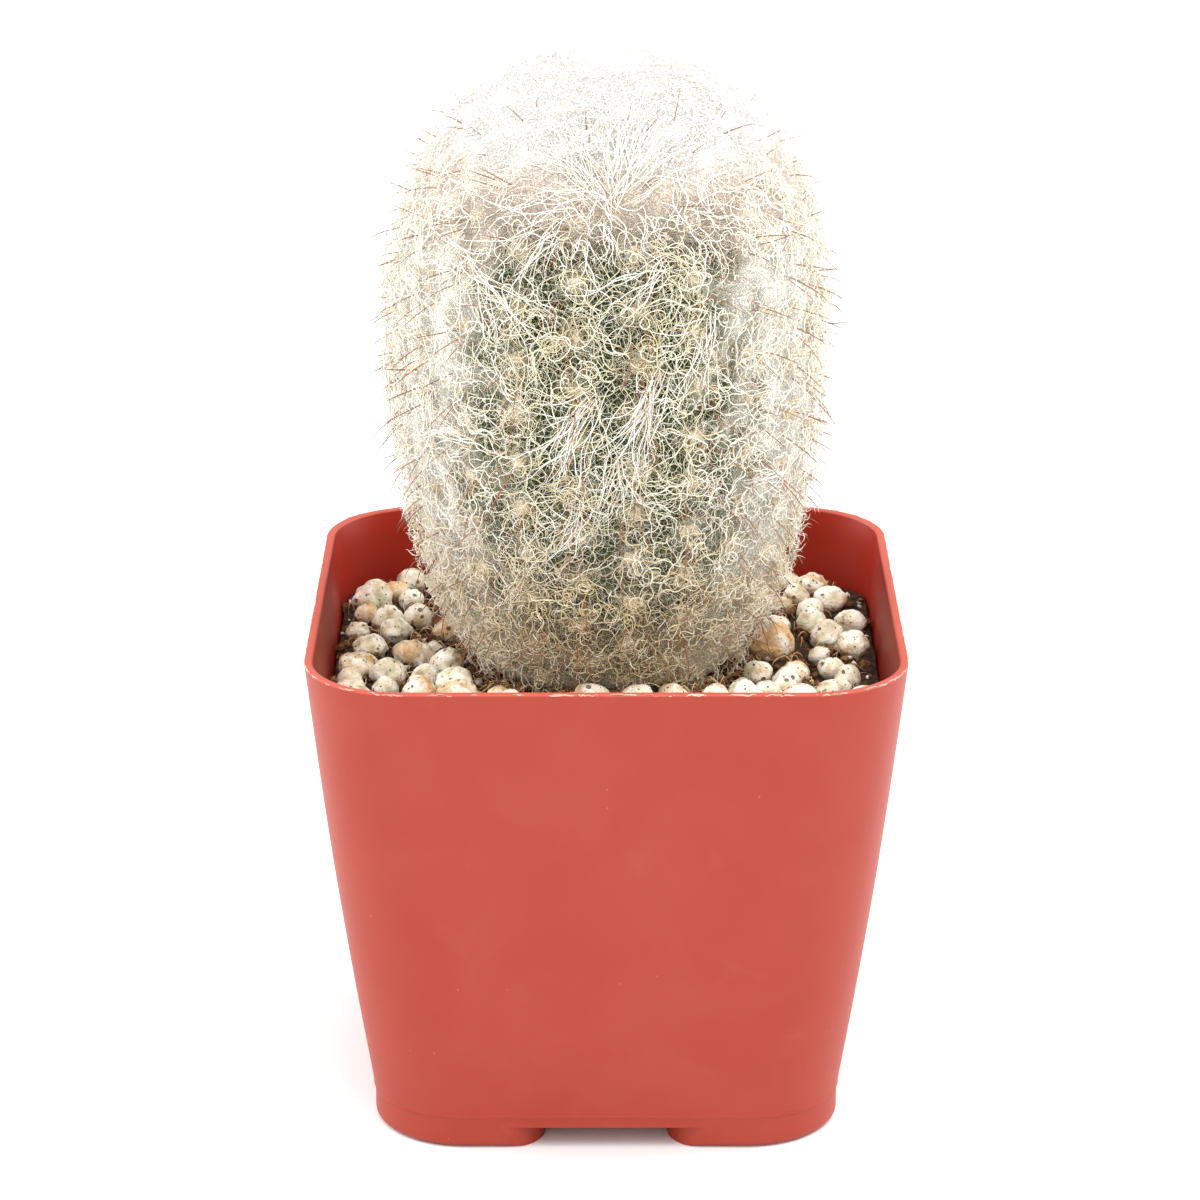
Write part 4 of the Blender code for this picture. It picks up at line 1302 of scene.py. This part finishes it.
def strands(name, paths, thickness, sides, material, rng, blunt=False):
    """A piece of thin closed tubes along paths, each with its own shade row."""
    count, points = paths.shape[:2]
    along = np.linspace(0, 1, points)
    taper = np.sin(math.pi * along).clip(0, 1) ** 0.5 if blunt else (1.15 * (1 - along ** 3)).clip(0, 1)
    taper[0] = taper[-1] = 0.0
    mesh = tube_mesh(name, paths, thickness, sides, taper)
    row = rng.integers(0, SHADE_ROWS, count)
    index = np.arange(len(mesh.vertices))
    side = index % sides
    u = (index % (sides * points)) // sides / (points - 1)
    v = (row[index // (sides * points)] + 0.1 + 0.8 * side / (sides - 1)) / SHADE_ROWS
    corner = np.zeros(len(mesh.loops), np.int32)
    mesh.loops.foreach_get("vertex_index", corner)
    layout = np.column_stack((u, v))[corner].astype(np.float32).ravel()
    while mesh.uv_layers:
        mesh.uv_layers.remove(mesh.uv_layers[0])
    for title in ("strand", "OFBake"):
        mesh.uv_layers.new(name=title).uv.foreach_set("vector", layout)
    mesh.uv_layers["strand"].active_render = True
    bm = bmesh.new()
    bm.from_mesh(mesh)
    bpy.data.meshes.remove(mesh)
    bmesh.ops.remove_doubles(bm, verts=bm.verts[:], dist=WELD)
    return smooth_from(bm, name, material)


def led(directions, amounts):
    """Steps along directions, one for each strand, by amounts for each of its points."""
    return directions[:, None, :] * amounts[:, :, None]


def normalised(vectors):
    return vectors / np.maximum(np.linalg.norm(vectors, axis=1), TINY)[:, None]


def along_skin(vectors, outward):
    """Directions with their outward part taken away."""
    return normalised(vectors - (vectors * outward).sum(axis=1)[:, None] * outward)


def any_way(outward, rng):
    return along_skin(rng.normal(size=outward.shape), outward)


def lie_of_wool(place, outward):
    """How combed wool lies: in wide eddies down the sides, and away from the whorl on the crown."""
    down = along_skin(np.tile((0.0, 0.0, -1.0), (len(place), 1)), outward)
    eddy = EDDY_TURN * np.array([noise.noise(Vector(point) / EDDY_SIZE) for point in place])
    sideways = np.cross(outward, down)
    eddies = down * np.cos(eddy)[:, None] + sideways * np.sin(eddy)[:, None]
    crown = WHORL_SHARE * smooth_step(*WHORL_REACH, place[:, 2])[:, None]
    combed = along_skin(place - np.array(WHORL), outward)
    return along_skin((1 - crown) * eddies + crown * combed, outward)


def wander(place, heading, points, step, hair):
    """Paths of hairs over the plant, from their roots and first headings.

    Each hair keeps to its level in the wool, winds left and right, and may coil, lie with the combed
    wool, and lift its tip.
    """
    count = len(place)
    step = np.broadcast_to(step, count)
    place, outward = PLANT.seat(place, hair["start"] * wool_depth(place[:, 2]))
    heading = along_skin(heading, outward)
    paths = np.zeros((count, points, 3))
    for index in range(points):
        paths[:, index] = place
        run = index * step
        lean = (np.cross(heading, lie_of_wool(place, outward)) * outward).sum(axis=1)
        winding = hair["bend"] * np.sin(math.tau * run / hair["wave"] + hair["phase"])
        turn = step * (hair["coil"] + winding + hair["follow"] * lean)
        sideways = np.cross(outward, heading)
        heading = heading * np.cos(turn)[:, None] + sideways * np.sin(turn)[:, None]
        place = place + step[:, None] * heading
        grown = np.clip(run / GROWN_AFTER, 0.0, 1.0)
        level = hair["start"] + (hair["level"] - hair["start"]) * grown
        ripple = grown * hair["ripple"] * np.sin(math.tau * run / (0.7 * hair["wave"]) + 2 * hair["phase"])
        tip = hair["lift"] * smooth_step(0.5, 1.0, index / points)
        depth = wool_depth(place[:, 2]) * level + ripple + tip
        place, outward = PLANT.seat(place, np.maximum(depth, LEAST_DEPTH))
        heading = along_skin(heading, outward)
    return paths


def loose_hair(rng, count, bend, wave, coils, coil_radii, lift):
    """Draws for hairs that don't belong to a lock; coils is the share of them that coil."""
    coiled = rng.random(count) < coils
    return {
        "start": np.full(count, START_LEVEL),
        "level": 1 - LEVEL_RANGE * rng.random(count) ** OUTER_SHARE,
        "bend": rng.uniform(0.25, 1.0, count) * bend, "wave": rng.uniform(0.6, 1.6, count) * wave,
        "phase": rng.uniform(0, math.tau, count),
        "coil": rng.choice([-1, 1], count) * coiled / rng.uniform(*coil_radii, count),
        "follow": np.where(coiled, 0.0, rng.uniform(0.0, 1.0, count) * FOLLOW),
        "ripple": rng.uniform(0.05, 0.3, count) * MM,
        "lift": (rng.random(count) < LIFTED_SHARE) * rng.uniform(0.3, 1.0, count) * lift,
    }


def lock_hair(rng, locks, each, bend, lift):
    """Draws for locks of nearly parallel hairs."""
    count = locks * each
    bends = np.repeat(rng.uniform(0.2, 1.0, locks) * bend, each)
    return {
        "start": np.full(count, LOCK_START_LEVEL), "level": rng.uniform(0.85, 1.04, count),
        "bend": bends * rng.uniform(0.8, 1.2, count),
        "wave": np.repeat(rng.uniform(*LOCK_WAVE, locks), each) * rng.uniform(0.9, 1.1, count),
        "phase": np.repeat(rng.uniform(0, math.tau, locks), each) + rng.normal(0, 0.5, count),
        "coil": rng.normal(0, 60.0, count), "follow": np.full(count, 0.3 * FOLLOW),
        "ripple": rng.uniform(0.02, 0.12, count) * MM,
        "lift": (rng.random(count) < 0.3) * rng.uniform(0.2, 1.0, count) * lift,
    }


def areole_roots(rng, count, low, high, spread):
    """Places for hair roots round seeded areoles between two heights."""
    height = PLANT.height(AREOLES[:, 1])
    near = AREOLES[(height >= low) & (height < high)]
    weight = PLANT.radius(near[:, 1]) + 2 * MM
    picked = near[rng.choice(len(near), count, p=weight / weight.sum())]
    length = picked[:, 1] + rng.normal(0, spread, count)
    out = np.maximum(PLANT.radius(length), spread)
    angle = picked[:, 0] + rng.normal(0, spread, count) / out
    return PLANT.over(angle, length)


def make_wool(khaki, cream, white):
    """The tangled wool: coils low down, longer waves higher up, and a dense combed crown."""
    for index, (name, low, high, count, points, step, bend, wave, coils, radii, lift) in enumerate(WOOL):
        rng = np.random.default_rng(SEED + index)
        roots = areole_roots(rng, count, low * MM, high * MM, ROOT_SPREAD)
        outward = PLANT.seat(roots)[1]
        coil_radii = [radius * MM for radius in radii]
        hair = loose_hair(rng, count, bend, wave * MM, coils, coil_radii, lift * MM)
        paths = wander(roots, any_way(outward, rng), points, step * MM, hair)
        material = {"wool_low": khaki, "wool_crown": white}.get(name, cream)
        thickness = rng.uniform(*HAIR_THICKNESS, count)
        of_cactus(strands(name, paths, thickness, HAIR_SIDES, material, rng))


def make_fuzz(white):
    """Short fine hairs that curl out of the wool all over."""
    rng = np.random.default_rng(SEED + 15)
    roots = areole_roots(rng, FUZZ_COUNT, FIRST_HAIR_HEIGHT, BODY_TOP, FUZZ_ROOT_SPREAD)
    start = rng.uniform(0.7, 0.95, FUZZ_COUNT) * wool_depth(roots[:, 2])
    place, outward = PLANT.seat(roots, start)
    aim = normalised(outward + any_way(outward, rng) * rng.uniform(0.4, 1.6, FUZZ_COUNT)[:, None])
    side = any_way(aim, rng) * rng.uniform(*FUZZ_CURL, FUZZ_COUNT)[:, None]
    other = np.cross(aim, side)
    reach = rng.uniform(*FUZZ_REACH, FUZZ_COUNT)[:, None]
    turns = rng.uniform(0.5, 1.1, FUZZ_COUNT)[:, None] * math.tau
    along = np.linspace(0, 1, FUZZ_POINTS)
    paths = place[:, None, :] + led(aim, reach * along)
    paths += led(side, np.sin(turns * along))
    paths += led(other, 1 - np.cos(turns * along))
    thickness = rng.uniform(*FUZZ_THICKNESS, FUZZ_COUNT)
    of_cactus(strands("wool_fuzz", paths, thickness, HAIR_SIDES, white, rng))


def make_locks(white):
    """White locks over the wool: the placed ones at the front, and seeded ones all round."""
    rng = np.random.default_rng(SEED + 20)
    ends = MM * np.array(FRONT_LOCKS)
    start, end = ends[:, :3], ends[:, 3:]
    each = LOCK_HAIRS
    place = np.repeat(start, each, axis=0)
    place += rng.normal(0, LOCK_SPREAD, place.shape)
    heading = np.repeat(end - start, each, axis=0) + rng.normal(0, LOCK_FAN, place.shape)
    reach = np.repeat(np.linalg.norm(end - start, axis=1), each) * rng.uniform(*LOCK_REACH, len(place))
    hair = lock_hair(rng, len(ends), each, LOCK_BEND, PLACED_LIFT)
    hair["follow"] = np.zeros(len(place))
    place += rng.uniform(-0.3, 0.2, len(place))[:, None] * heading
    front = wander(place, heading, LOCK_POINTS, reach / (LOCK_POINTS - 1), hair)

    roots = np.repeat(areole_roots(rng, SEEDED_LOCKS, *SEEDED_BETWEEN, ROOT_SPREAD), each, axis=0)
    place = roots + rng.normal(0, LOCK_SPREAD, roots.shape)
    heading = lie_of_wool(roots, PLANT.seat(place)[1])
    hair = lock_hair(rng, SEEDED_LOCKS, each, LOCK_BEND, SEEDED_LIFT)
    reach = np.repeat(rng.uniform(*SEEDED_LENGTH, SEEDED_LOCKS), each)
    reach *= rng.uniform(*LOCK_REACH, len(place))
    around = wander(place, heading, LOCK_POINTS, reach / (LOCK_POINTS - 1), hair)
    paths = np.concatenate((front, around))
    thickness = rng.uniform(*HAIR_THICKNESS, len(paths))
    of_cactus(strands("wool_locks", paths, thickness, HAIR_SIDES, white, rng))


def make_spines(material):
    """Spines that arch out of the wool and fan out from the whorl."""
    rng = np.random.default_rng(SEED + 30)
    picked = AREOLES[rng.permutation(np.repeat(np.arange(len(AREOLES)), SPINES_EACH))]
    count = len(picked)
    place = PLANT.over(*picked.T)
    place, outward = PLANT.seat(place + rng.normal(0, SPINE_ROOT_SPREAD, place.shape))
    stray = any_way(outward, rng) * rng.uniform(*SPINE_STRAY, count)[:, None]
    lean = along_skin(along_skin(place - np.array(WHORL), outward) + stray, outward)
    past = rng.uniform(*SPINE_PAST_WOOL, count) + np.interp(place[:, 2], SPINE_HEIGHTS, SPINE_SUNK)
    tall = wool_depth(place[:, 2]) + past
    reach = rng.uniform(*SPINE_REACH, count)
    bend = any_way(lean, rng) * rng.uniform(*SPINE_BEND, count)[:, None]
    along = np.linspace(0, 1, SPINE_POINTS)
    rise = 1 - (1 - along) ** SPINE_ARCH
    paths = place[:, None, :] + led(outward, tall[:, None] * rise)
    paths += led(lean, reach[:, None] * along)
    paths += led(bend, along[None, :] ** 2)
    thickness = rng.uniform(*SPINE_THICKNESS, count)
    of_cactus(strands("spines", paths, thickness, SPINE_SIDES, material, rng))


def make_stage():
    """A pale floor, soft light from above and the front, and the photograph's camera."""
    bm = bmesh.new()
    bmesh.ops.create_grid(bm, x_segments=1, y_segments=1, size=FLOOR_HALF)
    floor = object_from(bm, "studio_floor", Look("studio_floor", 0.9).painted(colour(FLOOR_GREY)))
    world = bpy.data.worlds.new("studio")
    world.use_nodes = True
    background = world.node_tree.nodes["Background"]
    background.inputs["Color"].default_value = colour(1.0)
    background.inputs["Strength"].default_value = SKY_STRENGTH
    bpy.context.scene.world = world
    for name, place, size, power in LIGHTS:
        light = bpy.data.lights.new(name, "AREA")
        light.size = size
        light.energy = power
        lamp = bpy.data.objects.new(name, light)
        lamp.location = place
        aim = Vector(LIGHTS_AIM) - lamp.location
        lamp.rotation_euler = aim.to_track_quat("-Z", "Y").to_euler()
        bpy.context.scene.collection.objects.link(lamp)
    data = bpy.data.cameras.new("camera")
    data.sensor_width = CAMERA_SENSOR
    data.lens = CAMERA_LENS
    data.clip_start = CAMERA_CLIP
    camera = bpy.data.objects.new("camera", data)
    camera.location = CAMERA_PLACE
    camera.rotation_euler = (math.radians(90 - CAMERA_DOWN), 0.0, 0.0)
    bpy.context.scene.collection.objects.link(camera)
    bpy.context.scene.camera = camera
    bpy.context.scene.view_settings.view_transform = "Standard"


def main():
    make_stage()
    outside = pot_material("pot_outside", (0.322, 0.026, 0.009), (0.60, 0.19, 0.13), 0.25, 0.5, 0.4)
    # The inside: the outside's plastic painted darker, as painted shade on the inner wall
    inside = pot_material("pot_inside_painted_shade", (0.31, 0.014, 0.004), (0.42, 0.09, 0.05), 0.35, 0.5, 0.25)
    # The lip: the same plastic painted paler, as a painted highlight on its top
    lip = pot_material("pot_lip_painted_highlight", (0.46, 0.065, 0.035), (0.72, 0.26, 0.19), 0.5, 0.5, 0.4)
    make_pot((outside, lip, inside))
    # The flash is the pot's plastic, painted pale pink as a painted highlight on the rough edge
    make_rim_flash(strand_material("flash", (0.66, 0.24, 0.17), (0.84, 0.44, 0.35), (0.95, 0.70, 0.60),
                                   (1.0, 1.0, 1.0), (0.84, 0.44, 0.35)))
    make_soil_bed(soil_material("peat", (0.014, 0.008, 0.005), (0.065, 0.033, 0.017)))
    make_chunks("soil_crumbs", CHUNK_COUNT, CHUNK_RADIUS,
                soil_material("peat_crumb", (0.04, 0.018, 0.009), (0.27, 0.125, 0.052)), SEED)
    make_chunks("soil_bits", BIT_COUNT, BIT_RADIUS, bit_material(), SEED + 1)
    make_fibres(fibre_material())
    make_pebbles(pebble_material())
    make_skin(skin_material())
    make_mat(mat_material())
    make_tufts(felt_material())
    khaki = strand_material("wool_khaki", (0.60, 0.47, 0.24), (0.87, 0.75, 0.47), (0.95, 0.87, 0.63),
                            painted_side_light=(1.0, 0.92, 0.74))
    cream = strand_material("wool_cream", (0.64, 0.54, 0.32), (0.86, 0.80, 0.59), (0.94, 0.91, 0.77))
    white = strand_material("wool_white", (0.84, 0.79, 0.70), (0.90, 0.87, 0.81), (0.93, 0.92, 0.88),
                            (0.95, 0.88, 0.78))
    make_wool(khaki, cream, white)
    make_fuzz(white)
    make_locks(white)
    make_spines(spine_material())


main()
